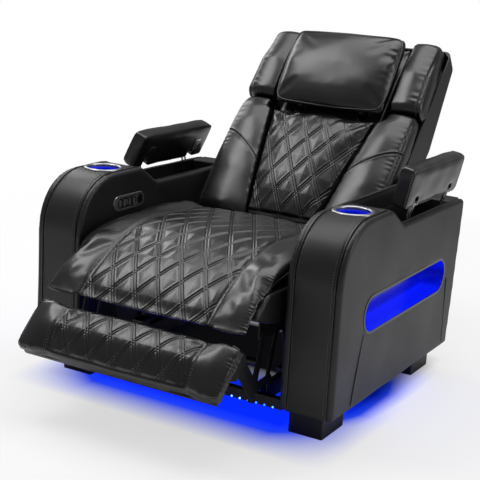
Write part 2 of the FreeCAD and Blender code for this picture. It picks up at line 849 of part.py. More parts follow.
def cross_tube():
    tube = cylinder_x(-link_x, link_x, tube_pos[0], tube_pos[1], tube_radius)
    return tube.cut(cylinder_x(-link_x - 1, link_x + 1, tube_pos[0], tube_pos[1], tube_radius - 2))


# Footrest pad, drawn hanging upright about its pivot and then swung out

def place_ottoman(shape):
    moved = shape.copy()
    moved.translate(V(0, ottoman_pivot[0], ottoman_pivot[1]))
    return swing(moved, ottoman_tilt, *ottoman_pivot)


def hanging(p):
    """Where a point fixed to the footrest lies before the footrest is swung out."""
    t = math.radians(ottoman_tilt)
    y, z = p[0] - ottoman_pivot[0], p[1] - ottoman_pivot[1]
    return y * math.cos(t) - z * math.sin(t), y * math.sin(t) + z * math.cos(t)


def ottoman_wire(x, swell):
    s = swell
    y0 = -ottoman_face - s
    y1 = -ottoman_face + ottoman_pad
    z1 = ottoman_above + s * 0.4
    z0 = ottoman_above - ottoman_length - s * 0.4
    points = [(y1, z0 + 4, 0), (y1, z1 - 4, 0), (y0 + 6, z1, 15), (y0, (z0 + z1) / 2, 220),
              (y0 + 6, z0, 15)]
    return chord_wire(points, lambda a, b: V(x, a, b))


def ottoman_cushion():
    half, quilt = cushion_half, ottoman_quilt_half
    stations = [(-half, -9.0), (-half + 8, -3.0), (-(half + quilt) / 2, 4.0), (-quilt - 8, -1.0),
                (-quilt, -6.0), (-quilt + 8, 0.0), (0.0, 4.0)]
    stations += [(-x, s) for x, s in reversed(stations[:-1])]
    return place_ottoman(loft([ottoman_wire(x, s) for x, s in stations]))


ottoman_rear = -ottoman_face + ottoman_pad + ottoman_board


def ottoman_panel():
    z1 = ottoman_above - 8.0
    z0 = ottoman_above - ottoman_length + 8.0
    panel = box(-ottoman_board_half, ottoman_board_half, ottoman_rear - ottoman_board, ottoman_rear,
                z0, z1)
    return place_ottoman(panel)


def ottoman_bracket():
    """Steel angle on the footrest board with eyes for the coupler and the footrest link."""
    x0, x1 = bracket_x, bracket_x + link
    low = hanging(lower_pivot)
    points = [(ottoman_rear, -70, 0), (low[0] + 8, -52, 10), (low[0] + 9, low[1] - 4, 8),
              (11, 8, 9), (-4, 11, 8), (ottoman_rear, 2, 0)]
    web = yz_prism(points, x0, x1)
    flange = box(x0 - 22, x0, ottoman_rear, ottoman_rear + 3, -100, -50)
    tie = box(x0 - 22, x1, ottoman_rear, ottoman_rear + 3, -70, -50)
    pins = []
    for (y, z), layer in (((0, 0), coupler_x), (low, ottoman_link_x)):
        pins.append(cylinder_x(layer, x0, y, z, pivot_r))
        pins.append(hexagon_x(layer + link + side_play, x0, y, z, head_r))
    return place_ottoman(fuse([web, flange, tie] + pins))


# Back, drawn upright about its hinge and then leaned

def place_back(shape):
    moved = shape.copy()
    moved.translate(V(0, hinge_pos[0], hinge_pos[1]))
    return swing(moved, recline_rest, *hinge_pos)


def back_section(w, points):
    """Horizontal section of the upright back at height w, from (x, front) corners."""
    return chord_wire(points, lambda a, b: V(a, -b, w))


def quilt_half_at(w):
    share = (w - quilt_bottom_w) / (quilt_top_w - quilt_bottom_w)
    return quilt_bottom_half + (quilt_top_half - quilt_bottom_half) * share


def back_cushion():
    """Quilted centre panel that widens upward, with a crowned front, and the pad above it."""
    wires = []
    for w, drop in ((quilt_bottom_w, -14.0), (quilt_bottom_w + 20, -3.0), (quilt_bottom_w + 130, 4.0),
                    (quilt_top_w - 90, 4.0), (quilt_top_w - 20, 0.0), (quilt_top_w, -8.0)):
        h = quilt_half_at(w) - fit
        front = quilt_front + drop
        points = [(-h, pad_rear, 0), (-h, front - 7, 0), (0, front + 4, 600), (h, front - 7, 0),
                  (h, pad_rear, 0)]
        wires.append(back_section(w, points))
    lower = loft(wires)
    h = quilt_top_half - fit
    upper = box(-h, h, -pad_rear - head_pad, -pad_rear, quilt_top_w, wing_top_w - 6)
    pad = lower.fuse(upper).removeSplitter()
    for side in (-1, 1):
        x0, x1 = sorted((side * (pillow_ear_x - 13.0), side * (pillow_ear_x + pillow_ear + 5.0)))
        pad = pad.cut(box(x0, x1, -pad_rear - head_pad - 1, -pad_rear + 1, pillow_pin_w - 22,
                          pillow_pin_w + 30))
    return place_back(pad)


def back_bolster():
    """Right-hand side bolster, drawn in at the seams and cut back beside the headrest."""
    wires = []
    clear = pillow_half + wing_gap + 2.0
    for w, inner, drop, side in ((quilt_bottom_w, None, -16.0, -8.0), (quilt_bottom_w + 24, None, -2.0, -2.0),
                                 (quilt_bottom_w + 156, None, 10.0, 0.0), (quilt_top_w - 60, None, 12.0, 0.0),
                                 (quilt_top_w, None, 8.0, -1.0), (quilt_top_w + 6, clear, 7.0, -2.0),
                                 (bolster_top_w, clear, -8.0, -8.0)):
        h0 = quilt_half_at(w) if inner is None else inner
        h1 = bolster_half + side
        front = quilt_front + drop
        points = [(h0, pad_rear, 0), (h0, front - 14, 0), ((h0 + h1) / 2, front, 90),
                  (h1, front - 20, 20), (h1, pad_rear, 0)]
        wires.append(back_section(w, points))
    return place_back(loft(wires))


def head_wing():
    """Right-hand wing of the head section beside the pillow."""
    wires = []
    for share, drop, side in ((0.0, -14.0, -7.0), (0.08, 0.0, 0.0), (0.5, 10.0, 1.0),
                              (0.92, 2.0, -2.0), (1.0, -14.0, -9.0)):
        w = wing_bottom_w + (wing_top_w - wing_bottom_w) * share
        h0 = pillow_half + wing_gap
        h1 = wing_bottom_half + (wing_top_half - wing_bottom_half) * share + side
        front = quilt_front + 4.0 + drop
        points = [(h0, pad_rear, 0), (h0, front - 10, 0), ((h0 + h1) / 2, front, 80),
                  (h1, front - 14, 20), (h1, pad_rear, 0)]
        wires.append(back_section(w, points))
    return place_back(loft(wires))


def shell_points(inset):
    """Side outline of the back shell as (front, w) corners."""
    i = inset
    return [(pad_rear - 1.0, shell_bottom_w, 0), (-shell_low_n + i, shell_bottom_w, 0),
            (-shell_full_n + i, shell_full_w, 60 - i), (-shell_top_n + i, shell_top_w - 12 - i, 26 - i),
            (pad_rear - 1.0, shell_top_w - i, 0)]


def upright_rear_edges(shape, half):
    """A shell's long rear edges, which lie at x = -half and half."""
    return [e for e in shape.Edges
            if abs(abs(e.BoundBox.XMin) - half) < 1e-4 and e.BoundBox.XLength < 1e-4
            and e.BoundBox.ZLength > shell_low_n and e.BoundBox.YMin > 0]


def back_shell():
    """Rear cover: a thin tray with round rear edges, open to the front and at the bottom."""
    outside = yz_prism([(-n, w, r) for n, w, r in shell_points(0)], -shell_half, shell_half)
    outside = outside.makeFillet(shell_round, upright_rear_edges(outside, shell_half))
    inner_points = [(-n, w, r) for n, w, r in shell_points(shell_wall)]
    inner_points[0] = (-pad_rear - 1, shell_bottom_w - 1, 0)
    inner_points[1] = (shell_low_n - shell_wall, shell_bottom_w - 1, 0)
    inner_points[-1] = (-pad_rear - 1, shell_top_w - shell_wall, 0)
    inside = yz_prism(inner_points, -shell_half + shell_wall, shell_half - shell_wall)
    inside = inside.makeChamfer(shell_round - shell_wall, upright_rear_edges(inside, shell_half - shell_wall))
    return place_back(outside.cut(inside))


bar_unit = sense(recline_bar_angle)


def upright_frame(p):
    """Where a point of the leaned back, relative to the hinge, lies in the upright frame."""
    t = math.radians(recline_rest)
    return p[0] * math.cos(t) - p[1] * math.sin(t), p[0] * math.sin(t) + p[1] * math.cos(t)


recline_bar_pos = (bar_unit[0] * recline_bar, bar_unit[1] * recline_bar)


def back_frame():
    """Welded tube frame with hinge plates, the recline bar and the headrest ears."""
    front, rear = 34.0, 34.0 - back_tube
    x0, x1 = upright_x, lobe_x
    top = shell_top_w - frame_below_shell
    solids = []
    for s in (1, -1):
        a, b = sorted((s * x0, s * x1))
        solids.append(box(a, b, -front, -rear, upright_bottom_w, top))
        a, b = sorted((s * x1, s * (seat_plate_x - hinge_gap)))
        solids.append(capsule((0, 0), (-12, 90), back_lobe, a, b))
    for w in (low_tube_w, pillow_pin_w - middle_tube_drop, top - back_tube):
        solids.append(box(-x0, x0, -front, -rear, w, w + back_tube))
    bar_y, bar_w = upright_frame(recline_bar_pos)
    for x in (motor_x - 32, motor_x + 28):
        solids.append(capsule((-20, 73), (bar_y, bar_w), 13.0, x, x + 4))
    solids.append(cylinder_x(motor_x - 32, motor_x + 32, bar_y, bar_w, recline_bar_r))
    for s in (1, -1):
        a, b = sorted((s * pillow_ear_x, s * (pillow_ear_x + pillow_ear)))
        solids.append(capsule((-20, 345), (-26, pillow_pin_w), 8.0, a, b))
        solids.append(capsule((-26, pillow_pin_w), (-pillow_pin_n, pillow_pin_w), 7.0, a, b))
        a, b = sorted((s * (pillow_ear_x - pillow_eye - 0.5), s * pillow_ear_x))
        solids.append(cylinder_x(a, b, -pillow_pin_n, pillow_pin_w, pillow_pin_r))
    frame = fuse(solids)
    for s in (1, -1):
        a, b = sorted((s * (x1 - 1), s * (seat_plate_x - 1.0)))
        frame = frame.cut(cylinder_x(a, b, 0, 0, back_pin_r + running))
    return place_back(frame)


# Headrest, drawn flat on the upright back and then tipped forward about its pins

def place_pillow(shape):
    return place_back(swing(shape, -pillow_tilt, -pillow_pin_n, pillow_pin_w))


def pillow():
    wires = []
    w0 = pillow_bottom_w
    for share, swell, side in ((0.0, -16.0, -12.0), (0.06, -4.0, -3.0), (0.25, 10.0, 0.0),
                               (0.55, 15.0, 1.0), (0.85, 7.0, 0.0), (0.96, -4.0, -3.0),
                               (1.0, -16.0, -12.0)):
        w = w0 + pillow_length * share
        h = pillow_half + side
        rear = pillow_rear - min(0.0, swell) * 0.5
        front = pillow_rear + pillow_thick + swell
        points = [(-h + 4, rear, 0), (-h, (rear + front) / 2 - 3, 0), (-h + 26, front - 8, 25),
                  (0, front + 3, 700), (h - 26, front - 8, 25), (h, (rear + front) / 2 - 3, 0),
                  (h - 4, rear, 0)]
        wires.append(back_section(w, points))
    return place_pillow(loft(wires))


def pillow_plate():
    """Steel back plate of the pillow with two hinge eyes."""
    half = pillow_half - 60.0
    plate = box(-half, half, -pillow_rear, -pillow_rear + 4.0, pillow_pin_w + 4, pillow_pin_w + 190)
    eyes = []
    for s in (1, -1):
        a, b = sorted((s * (pillow_ear_x - pillow_eye - 0.5), s * (pillow_ear_x - 0.5)))
        eye = capsule((-pillow_pin_n, pillow_pin_w), (-pillow_rear + 6, pillow_pin_w + 16), 8.0, a, b)
        eyes.append(eye.cut(cylinder_x(a - 1, b + 1, -pillow_pin_n, pillow_pin_w, pillow_pin_r + running)))
    body = fuse([plate] + eyes)
    behind = box(-half, half, -pillow_rear - 20, -pillow_rear, pillow_pin_w - 20, pillow_pin_w + 200)
    return place_pillow(body.cut(behind))


# Motors: a screw in a fixed channel moves a carriage whose yoke straddles a bar

def lug_under(y, width):
    """Front face of a lug centred under a frame board that starts at y."""
    return y + (width - lug) / 2


def motor_unit(x, y0, y1, axis_z, up, lug_ys):
    """Motor housing, open channel, lead screw and the lugs that hang it from the seat frame."""
    h = track / 2
    channel = box(x - h, x + h, y0, y1, axis_z - h, axis_z + h)
    w = h - track_wall
    z0, z1 = (axis_z - w, axis_z + h + 1) if up > 0 else (axis_z - h - 1, axis_z + w)
    channel = channel.cut(box(x - w, x + w, y0 + 2 * track_wall, y1 - 2 * track_wall, z0, z1))
    screw = Part.makeCylinder(screw_r, y1 - y0 - 2, V(x, y0 + 1, axis_z), AXIS_Y)
    m = motor_width / 2
    housing = box(x - m, x + m, motor_y, motor_y + motor_length, axis_z - h - 6, axis_z + h + 4)
    housing = housing.makeFillet(7.0, [e for e in housing.Edges if e.BoundBox.YLength > motor_length / 2])
    outward = V(1, 0, 0) if x > 0 else V(-1, 0, 0)
    can_start = V(x, motor_y + motor_length / 2, axis_z - 4)
    can = Part.makeCylinder(motor_can_r, m + motor_can, can_start, outward)
    lugs = []
    for y in lug_ys:
        for side in (-1, 1):
            a, b = sorted((x + side * (h - track_wall), x + side * h))
            lugs.append(box(a, b, y, y + lug, axis_z + h - 2, frame_bottom))
    return fuse([channel, screw, housing, can] + lugs)


def carriage(x, axis_z, up, bar, gap, reach):
    """Nut on the screw, stem through the channel's slot, arm and slotted yoke round the bar."""
    h = track / 2
    w = h - track_wall - fit
    side = 1 if reach > 0 else -1
    body_y = bar[0] - reach
    half = nut_length / 2
    nut = box(x - w, x + w, body_y - half, body_y + half, axis_z - w, axis_z + w)
    bore = Part.makeCylinder(screw_r + running, nut_length + 4, V(x, body_y - half - 2, axis_z), AXIS_Y)
    arm_z = axis_z + up * (h + 2.0)
    z0, z1 = sorted((axis_z + up * (screw_r + 2.0), arm_z))
    stem = box(x - w, x + w, body_y - half, body_y + half, z0, z1)
    z0, z1 = sorted((arm_z, arm_z + up * 5.0))
    y0, y1 = sorted((body_y - side * half, bar[0] + side * (gap + yoke_prong)))
    plate = box(x - yoke_width / 2, x + yoke_width / 2, y0, y1, z0, z1)
    prongs = []
    for s in (-1, 1):
        a, b = sorted((bar[0] + s * gap, bar[0] + s * (gap + yoke_prong)))
        p0, p1 = sorted((arm_z, bar[1] + up * yoke_cover))
        prongs.append(box(x - yoke_width / 2, x + yoke_width / 2, a, b, p0, p1))
    return fuse([nut.cut(bore), stem, plate] + prongs)


# The arms, one node per board, left and right

for name, flip, inner_notched in (("right", False, False), ("left", True, True)):
    turn = mirror if flip else (lambda shape: shape)
    save(name + "_arm_outer_panel", turn(outer_panel()))
    inner = turn(inner_panel(inner_notched))
    save(name + "_arm_inner_panel", button_pockets(inner) if flip else inner)
    save(name + "_arm_front_band", turn(front_band()))
    save(name + "_storage_bin", turn(storage_bin()))
    save(name + "_cup_holder", turn(cup_holder()))
    save(name + "_niche_tray", turn(niche_tray()))
    opened = left_lid_open if flip else right_lid_open
    save(name + "_lid_pad", turn(open_lid(lid_pad(), opened)))
    leaves = Part.makeCompound([lid_leaf(y) for y in hinge_y])
    save(name + "_lid_leaves", turn(open_lid(leaves, opened)))

save("arm_base_boards", both(base_board()))
save("arm_rear_panels", both(rear_panel()))
save("lid_hinge_brackets", both(Part.makeCompound([hinge_bracket(y) for y in hinge_y])))
save("cup_lights", both(cup_light_lens()))
save("niche_lights", both(niche_light()))
save("feet", both(Part.makeCompound([foot(foot_front_y), foot(foot_rear_y)])))

# Base and controls

save("cross_rails", Part.makeCompound([cross_rail(rail_front_y), cross_rail(rear_rail_y)]))
save("rear_cover", rear_cover())
save("glide_rails", both(glide_rail()))
save("power_box", power_box())
save("floor_light", floor_light())
save("control_plate", control_plate())
save("charge_socket", charge_socket())
for name, y in zip(button_names, button_ys):
    save(name, button(y, button_width, button_height))
save("light_button", button(light_button_y, light_button_width, light_button_height))

# Seat

save("seat_frame", seat_frame())
save("seat_side_plates", both(seat_side_plate()))
save("glide_shoes", both(Part.makeCompound([glide_shoe(y) for y in leg_ys])))
save("seat_webbing", seat_webbing())
save("seat_cushion", seat_cushion())

# Footrest

save("front_links", both(front_link()))
save("rear_links", both(rear_link()))
save("coupler_links", both(coupler()))
save("footrest_links", both(ottoman_link()))
save("cross_tube", cross_tube())
save("footrest_brackets", both(ottoman_bracket()))
save("footrest_board", ottoman_panel())
save("footrest_pad", ottoman_cushion())

# Back and headrest

save("back_frame", back_frame())
save("back_shell", back_shell())
save("back_cushion", back_cushion())
save("right_back_bolster", back_bolster())
save("left_back_bolster", mirror(back_bolster()))
save("right_head_wing", head_wing())
save("left_head_wing", mirror(head_wing()))
save("headrest_pillow", pillow())
save("headrest_plate", pillow_plate())

# Motors

front_lug, middle_lug = [lug_under(y, beam) for y in beam_ys]
rear_lug = lug_under(rear_board_y, rear_board)
save("footrest_motor", motor_unit(-motor_x, footrest_track_front_y, motor_y, footrest_screw_z, -1,
                                  (front_lug, middle_lug)))
save("footrest_carriage", carriage(-motor_x, footrest_screw_z, -1, tube_pos,
                                   tube_radius + footrest_slack, footrest_reach))
save("recline_motor", motor_unit(motor_x, motor_y + motor_length, recline_track_rear_y,
                                 recline_screw_z, 1, (middle_lug, rear_lug)))
save("recline_carriage", carriage(motor_x, recline_screw_z, 1, add(hinge_pos, recline_bar_pos),
                                  recline_bar_r + recline_slack, recline_reach))
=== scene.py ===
"""Finish of a home-theatre power recliner: stuffed leather pads, quilting, piping, stitches and lights.

Sizes are millimetres until a point is written to a mesh. X runs to the right as seen from the front,
Y to the back, Z up, as in the frame.
"""

import bpy
import bmesh
import json
import math
import numpy as np
from mathutils import Matrix, Vector
from mathutils.bvhtree import BVHTree


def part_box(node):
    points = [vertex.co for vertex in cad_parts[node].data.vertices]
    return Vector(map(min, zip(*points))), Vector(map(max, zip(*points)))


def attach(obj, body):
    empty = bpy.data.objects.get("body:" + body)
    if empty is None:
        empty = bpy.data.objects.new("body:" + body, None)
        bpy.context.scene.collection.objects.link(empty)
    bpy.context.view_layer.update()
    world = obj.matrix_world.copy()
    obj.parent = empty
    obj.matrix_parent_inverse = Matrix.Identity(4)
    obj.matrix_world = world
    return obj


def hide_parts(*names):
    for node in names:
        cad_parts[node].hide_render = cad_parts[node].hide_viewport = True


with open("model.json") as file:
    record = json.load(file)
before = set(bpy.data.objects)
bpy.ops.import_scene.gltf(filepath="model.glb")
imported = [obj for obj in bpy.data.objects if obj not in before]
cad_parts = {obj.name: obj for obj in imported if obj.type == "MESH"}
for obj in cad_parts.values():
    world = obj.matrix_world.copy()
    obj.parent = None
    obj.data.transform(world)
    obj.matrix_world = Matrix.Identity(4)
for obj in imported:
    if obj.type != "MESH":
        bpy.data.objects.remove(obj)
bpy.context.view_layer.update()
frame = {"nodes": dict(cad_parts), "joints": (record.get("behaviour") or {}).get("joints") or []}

MM = 0.001
joints = {joint["name"]: joint for joint in frame["joints"]}


# Sizes taken from the frame

def node_box(node):
    """Lowest and highest corner of a node, in millimetres."""
    low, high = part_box(node)
    return np.array(low) / MM, np.array(high) / MM


def joint_place(name):
    return np.array(joints[name]["pos_m"]) / MM


arm_low, arm_high = node_box("right_arm_outer_panel")
band_low, band_high = node_box("right_arm_front_band")
cup_low, cup_high = node_box("right_cup_holder")
niche_low, niche_high = node_box("right_niche_tray")
panel_low = node_box("control_plate")[0]
strip_low = node_box("floor_light")[0]

outer_x = arm_high[0]
outer_seam_x, inner_seam_x = band_high[0], band_low[0]
cup_x, cup_y = (cup_low + cup_high)[:2] / 2
deck_z = band_high[2]
arm_bottom = arm_low[2]

# Sizes of the sewn work
nose_radius = 150.0
deck_end_y = -113.0
notch_foot_y = -36.0
rim_z = 510.0
side_light_x = outer_x - 32.0
side_seams = (((-247.0, 268.0), (-292.0, 93.0)), ((321.0, 290.0), (330.0, 92.0)))
seat_half, seat_back_y = 306.0, 101.0
pillow_half = 192.5
knuckle_ys, knuckle_half = (40.0, 285.0), 12.6
cup_ring_radius, cup_ring_thickness = 49.6, 5.8
seat_quilt_half = 192.0
rest_quilt_half = 205.0
back_quilt_low, back_quilt_high = -16.0, 360.0
back_quilt_halves = (112.0, 178.0)
diamond_width, diamond_height = 70.0, 122.0
field_puff, field_reach = 2.6, 18.0
ridge_height, ridge_width = 0.9, 1.8
groove_depth, groove_width, groove_off = 2.0, 1.9, 3.5
lip_height, lip_width, lip_off = 1.0, 2.4, 7.0
quilt_lift = 2.2
piping_radius, lid_piping_radius, side_seam_radius = 2.6, 1.9, 1.1
stitch_rows = (4.5, 9.0)
stitch_length, stitch_pitch, stitch_width = 5.0, 7.5, 0.75
cloth_frames = 20
SIDES = ((-1, "left"), (1, "right"))


# Leaned frames

class Lean:
    """A flat frame leaned back about a point: x, up along the piece, and out of its face."""

    def __init__(self, degrees, y, z, up_at=0.0, out_at=0.0):
        t = math.radians(degrees)
        self.up = np.array((0.0, math.sin(t), math.cos(t)))
        self.out = np.array((0.0, -math.cos(t), math.sin(t)))
        self.origin = np.array((0.0, y, z)) - self.up * up_at - self.out * out_at

    def local(self, points):
        d = points - self.origin
        return d[:, 0], d @ self.up, d @ self.out

    def world(self, x, up, out):
        x, up, out = np.broadcast_arrays(x, up, out)
        return self.origin + sum(np.multiply.outer(size, way) for size, way in
                                 ((x, np.array((1.0, 0.0, 0.0))), (up, self.up), (out, self.out)))


hinge = joint_place("back_recline")
head_pin = joint_place("headrest_tilt")
rest_pin = joint_place("footrest_tilt")
BACK = Lean(42.0, hinge[1], hinge[2])
HEAD = Lean(34.0, head_pin[1], head_pin[2], 402.0, 58.0)
REST = Lean(46.0, rest_pin[1], rest_pin[2])


# Mesh helpers

def deselect():
    if bpy.context.object and bpy.context.object.mode != "OBJECT":
        bpy.ops.object.mode_set(mode="OBJECT")
    bpy.ops.object.select_all(action="DESELECT")


def choose(obj):
    deselect()
    obj.select_set(True)
    bpy.context.view_layer.objects.active = obj


def apply_all(obj):
    choose(obj)
    for modifier in list(obj.modifiers):
        bpy.ops.object.modifier_apply(modifier=modifier.name)


def points_of(obj):
    """Vertex places in millimetres."""
    co = np.empty(len(obj.data.vertices) * 3, np.float32)
    obj.data.vertices.foreach_get("co", co)
    return co.reshape(-1, 3).astype(float) / MM


def normals_of(obj):
    no = np.empty(len(obj.data.vertices) * 3, np.float32)
    obj.data.vertex_normals.foreach_get("vector", no)
    return no.reshape(-1, 3).astype(float)


def set_points(obj, points):
    obj.data.vertices.foreach_set("co", (points * MM).astype(np.float32).ravel())
    obj.data.update()


def new_object(name, data):
    obj = bpy.data.objects.new(name, data)
    bpy.context.scene.collection.objects.link(obj)
    return obj


def copy_of(node, name):
    """A merged copy of a node's mesh, as the start of the piece that stands for it."""
    obj = new_object(name, frame["nodes"][node].data.copy())
    obj.data.materials.clear()
    mesh = bmesh.new()
    mesh.from_mesh(obj.data)
    bmesh.ops.remove_doubles(mesh, verts=mesh.verts, dist=0.00001)
    bmesh.ops.recalc_face_normals(mesh, faces=mesh.faces)
    mesh.to_mesh(obj.data)
    mesh.free()
    return obj


def remesh(obj, voxel):
    modifier = obj.modifiers.new("voxels", "REMESH")
    modifier.mode = "VOXEL"
    modifier.voxel_size = voxel * MM
    apply_all(obj)


def relax(obj, times):
    modifier = obj.modifiers.new("relaxed", "SMOOTH")
    modifier.iterations = times
    modifier.factor = 0.5
    apply_all(obj)


def subdivide(obj):
    modifier = obj.modifiers.new("finer", "SUBSURF")
    modifier.levels = modifier.render_levels = 1
    apply_all(obj)


def tree_of(obj):
    return BVHTree.FromPolygons([v.co for v in obj.data.vertices],
                                [p.vertices for p in obj.data.polygons])


def ripple(points, wavelength, seed):
    """Smooth unevenness between about -1 and 1, made of a few seeded waves."""
    random = np.random.default_rng(seed)
    total = np.zeros(len(points))
    waves = 6
    for _ in range(waves):
        way = random.normal(size=3)
        way /= np.linalg.norm(way)
        length = wavelength * random.uniform(0.7, 1.4)
        total += np.sin(points @ way * 2 * math.pi / length + random.uniform(0, 2 * math.pi))
    return total / math.sqrt(waves)


def unit(vectors):
    """Vectors of length 1 the same way."""
    return vectors / np.linalg.norm(vectors, axis=1, keepdims=True)


def reached_at(places):
    """Length reached along a run at each of its places."""
    return np.concatenate(([0.0], np.cumsum(np.linalg.norm(np.diff(places, axis=0), axis=1))))


def between(at, reached, places):
    """Points at these lengths along a run of places."""
    return np.stack([np.interp(at, reached, column) for column in places.T], axis=-1)


def bell(distance, width):
    return np.exp(-(distance / width) ** 2)


def step(value, low, high):
    t = np.clip((value - low) / (high - low), 0.0, 1.0)
    return t * t * (3 - 2 * t)


def gathers(along, across, pitch, reach, seed):
    """Small folds square to a seam, uneven in spacing and fading away from it."""
    random = np.random.default_rng(seed)
    a, b = random.uniform(0, 6.3, 2)
    folds = np.sin(along * 2 * math.pi / pitch + a + 1.3 * np.sin(along * 2 * math.pi / (pitch * 3.7)))
    swell = 0.6 + 0.4 * np.sin(along * 2 * math.pi / (pitch * 5.3) + b)
    return folds * swell * bell(across, reach)


def finish_piece(obj, material, body):
    obj.data.materials.clear()
    obj.data.materials.append(material)
    obj.data.polygons.foreach_set("use_smooth", [True] * len(obj.data.polygons))
    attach(obj, body)


# Materials

def linear(code):
    """Linear colour of an sRGB hex value."""
    values = [int(code[i:i + 2], 16) / 255 for i in (1, 3, 5)]
    return tuple(v / 12.92 if v <= 0.04045 else ((v + 0.055) / 1.055) ** 2.4 for v in values) + (1.0,)


def put(tree, kind, feeds=None, goal=None, **settings):
    """Adds a node. Settings name its properties or sockets, numbers fill its sockets from the second on,
    and stops are the places and hex colours of its ramp. Feeds link outputs to its sockets, and its
    first output is linked to the goal."""
    made = tree.nodes.new(kind)
    for key, value in settings.items():
        if key == "stops":
            marks = made.color_ramp.elements
            for mark, (position, colour) in ((marks[0], value[0]), (marks[1], value[-1])):
                mark.position, mark.color = position, linear(colour)
            for position, colour in value[1:-1]:
                marks.new(position).color = linear(colour)
        elif key == "numbers":
            for socket, number in zip(list(made.inputs)[1:], value):
                socket.default_value = number
        elif hasattr(made, key):
            setattr(made, key, value)
        else:
            made.inputs[key.replace("_", " ")].default_value = value
    for socket, output in (feeds or {}).items():
        tree.links.new(output, made.inputs[socket])
    if goal is not None:
        tree.links.new(made.outputs[0], goal)
    return made


def new_material(name, **constants):
    """A material with its shader's constants set: itself, its nodes, the shader's sockets and the place
    on the piece, for patterns."""
    material = bpy.data.materials.new(name)
    material.use_nodes = True
    tree = material.node_tree
    tree.nodes.clear()
    shader = put(tree, "ShaderNodeBsdfPrincipled", **constants)
    put(tree, "ShaderNodeOutputMaterial", {"Surface": shader.outputs[0]})
    place = put(tree, "ShaderNodeTexCoord").outputs["Object"]
    return material, tree, shader.inputs, place


def per_metre(size):
    """Texture scale for a pattern of this many millimetres."""
    return 1000.0 / size


def leather(name, dark, light, gloss_low, gloss_high, soft_folds, coat):
    """Top-grain cowhide, drum-dyed black with a clear semi-gloss topcoat: broad soft highlights,
    a pebbled grain and shallow unevenness where the hide is stretched."""
    material, tree, surface, place = new_material(name, IOR=1.5, Coat_Weight=coat, Coat_Roughness=0.24)
    # The real grain is about 1 mm across; it is drawn at 3 mm, so that it shows.
    grain = put(tree, "ShaderNodeTexVoronoi", {"Vector": place}, Scale=per_metre(3.0)).outputs["Distance"]
    cloud = put(tree, "ShaderNodeTexNoise", {"Vector": place}, Scale=per_metre(140.0), Detail=5.0).outputs[0]
    folds = put(tree, "ShaderNodeTexNoise", {"Vector": place}, Scale=per_metre(38.0), Detail=3.0).outputs[0]
    put(tree, "ShaderNodeValToRGB", {"Fac": cloud}, surface["Base Color"], stops=((0.3, dark), (0.7, light)))
    put(tree, "ShaderNodeMapRange", {"Value": cloud}, surface["Roughness"],
        numbers=(0.3, 0.7, gloss_low, gloss_high))
    shallow = put(tree, "ShaderNodeBump", {"Height": folds}, Strength=0.3, Distance=soft_folds * MM)
    put(tree, "ShaderNodeBump", {"Height": grain, "Normal": shallow.outputs[0]}, surface["Normal"],
        Strength=0.12, Distance=0.35 * MM)
    return material


def thread():
    """Bonded nylon thread, charcoal: its twist is drawn as lighter bands, a painted highlight that stands for
    the fine light caught along each stitch.
    """
    material, tree, surface, place = new_material("bonded_nylon_thread", Roughness=0.42)
    twist_highlight = put(tree, "ShaderNodeTexWave", {"Vector": place}, Scale=per_metre(1.2), Distortion=1.0)
    # Lighter bands along the twist: a painted highlight on each stitch, over the charcoal of the thread.
    put(tree, "ShaderNodeValToRGB", {"Fac": twist_highlight.outputs["Fac"]}, surface["Base Color"],
        stops=((0.0, "#3a3a3d"), (1.0, "#77777c")))
    return material


def brushed_aluminium():
    """Pressed aluminium, brushed and clear anodised: bright, with fine scratches that spread the light."""
    material, tree, surface, place = new_material("brushed_aluminium", Metallic=1.0)
    # Brush marks are about 0.2 mm apart; they are drawn at 1.5 mm, so that they show.
    drawn = put(tree, "ShaderNodeMapping", {"Vector": place}, Scale=(1.0, 0.08, 1.0)).outputs[0]
    lines = put(tree, "ShaderNodeTexNoise", {"Vector": drawn}, Scale=per_metre(1.5), Detail=4.0).outputs[0]
    put(tree, "ShaderNodeValToRGB", {"Fac": lines}, surface["Base Color"],
        stops=((0.0, "#97989c"), (1.0, "#bcbdc1")))
    put(tree, "ShaderNodeMapRange", {"Value": lines}, surface["Roughness"], numbers=(0.0, 1.0, 0.24, 0.38))
    put(tree, "ShaderNodeBump", {"Height": lines}, surface["Normal"], Strength=0.15, Distance=0.05 * MM)
    return material


def bright_steel():
    """Nickel-plated steel: mirror-like with faint tumbling marks."""
    material, tree, surface, place = new_material("nickel_plated_steel", Metallic=1.0)
    marks = put(tree, "ShaderNodeTexNoise", {"Vector": place}, Scale=per_metre(6.0), Detail=5.0).outputs[0]
    put(tree, "ShaderNodeValToRGB", {"Fac": marks}, surface["Base Color"],
        stops=((0.0, "#a9a8a4"), (1.0, "#cfcec9")))
    put(tree, "ShaderNodeMapRange", {"Value": marks}, surface["Roughness"], numbers=(0.0, 1.0, 0.16, 0.3))
    return material


def coated_steel():
    """Pressed steel with a black powder coat: satin, with a fine orange-peel surface."""
    material, tree, surface, place = new_material("powder_coated_steel")
    # Orange peel is about 1 mm across; it is drawn at 4 mm, so that it shows.
    peel = put(tree, "ShaderNodeTexNoise", {"Vector": place}, Scale=per_metre(4.0), Detail=2.0).outputs[0]
    dust = put(tree, "ShaderNodeTexNoise", {"Vector": place}, Scale=per_metre(60.0), Detail=4.0).outputs[0]
    put(tree, "ShaderNodeValToRGB", {"Fac": dust}, surface["Base Color"],
        stops=((0.0, "#0d0d0e"), (1.0, "#1b1b1d")))
    put(tree, "ShaderNodeMapRange", {"Value": dust}, surface["Roughness"], numbers=(0.0, 1.0, 0.3, 0.48))
    put(tree, "ShaderNodeBump", {"Height": peel}, surface["Normal"], Strength=0.2, Distance=0.2 * MM)
    return material


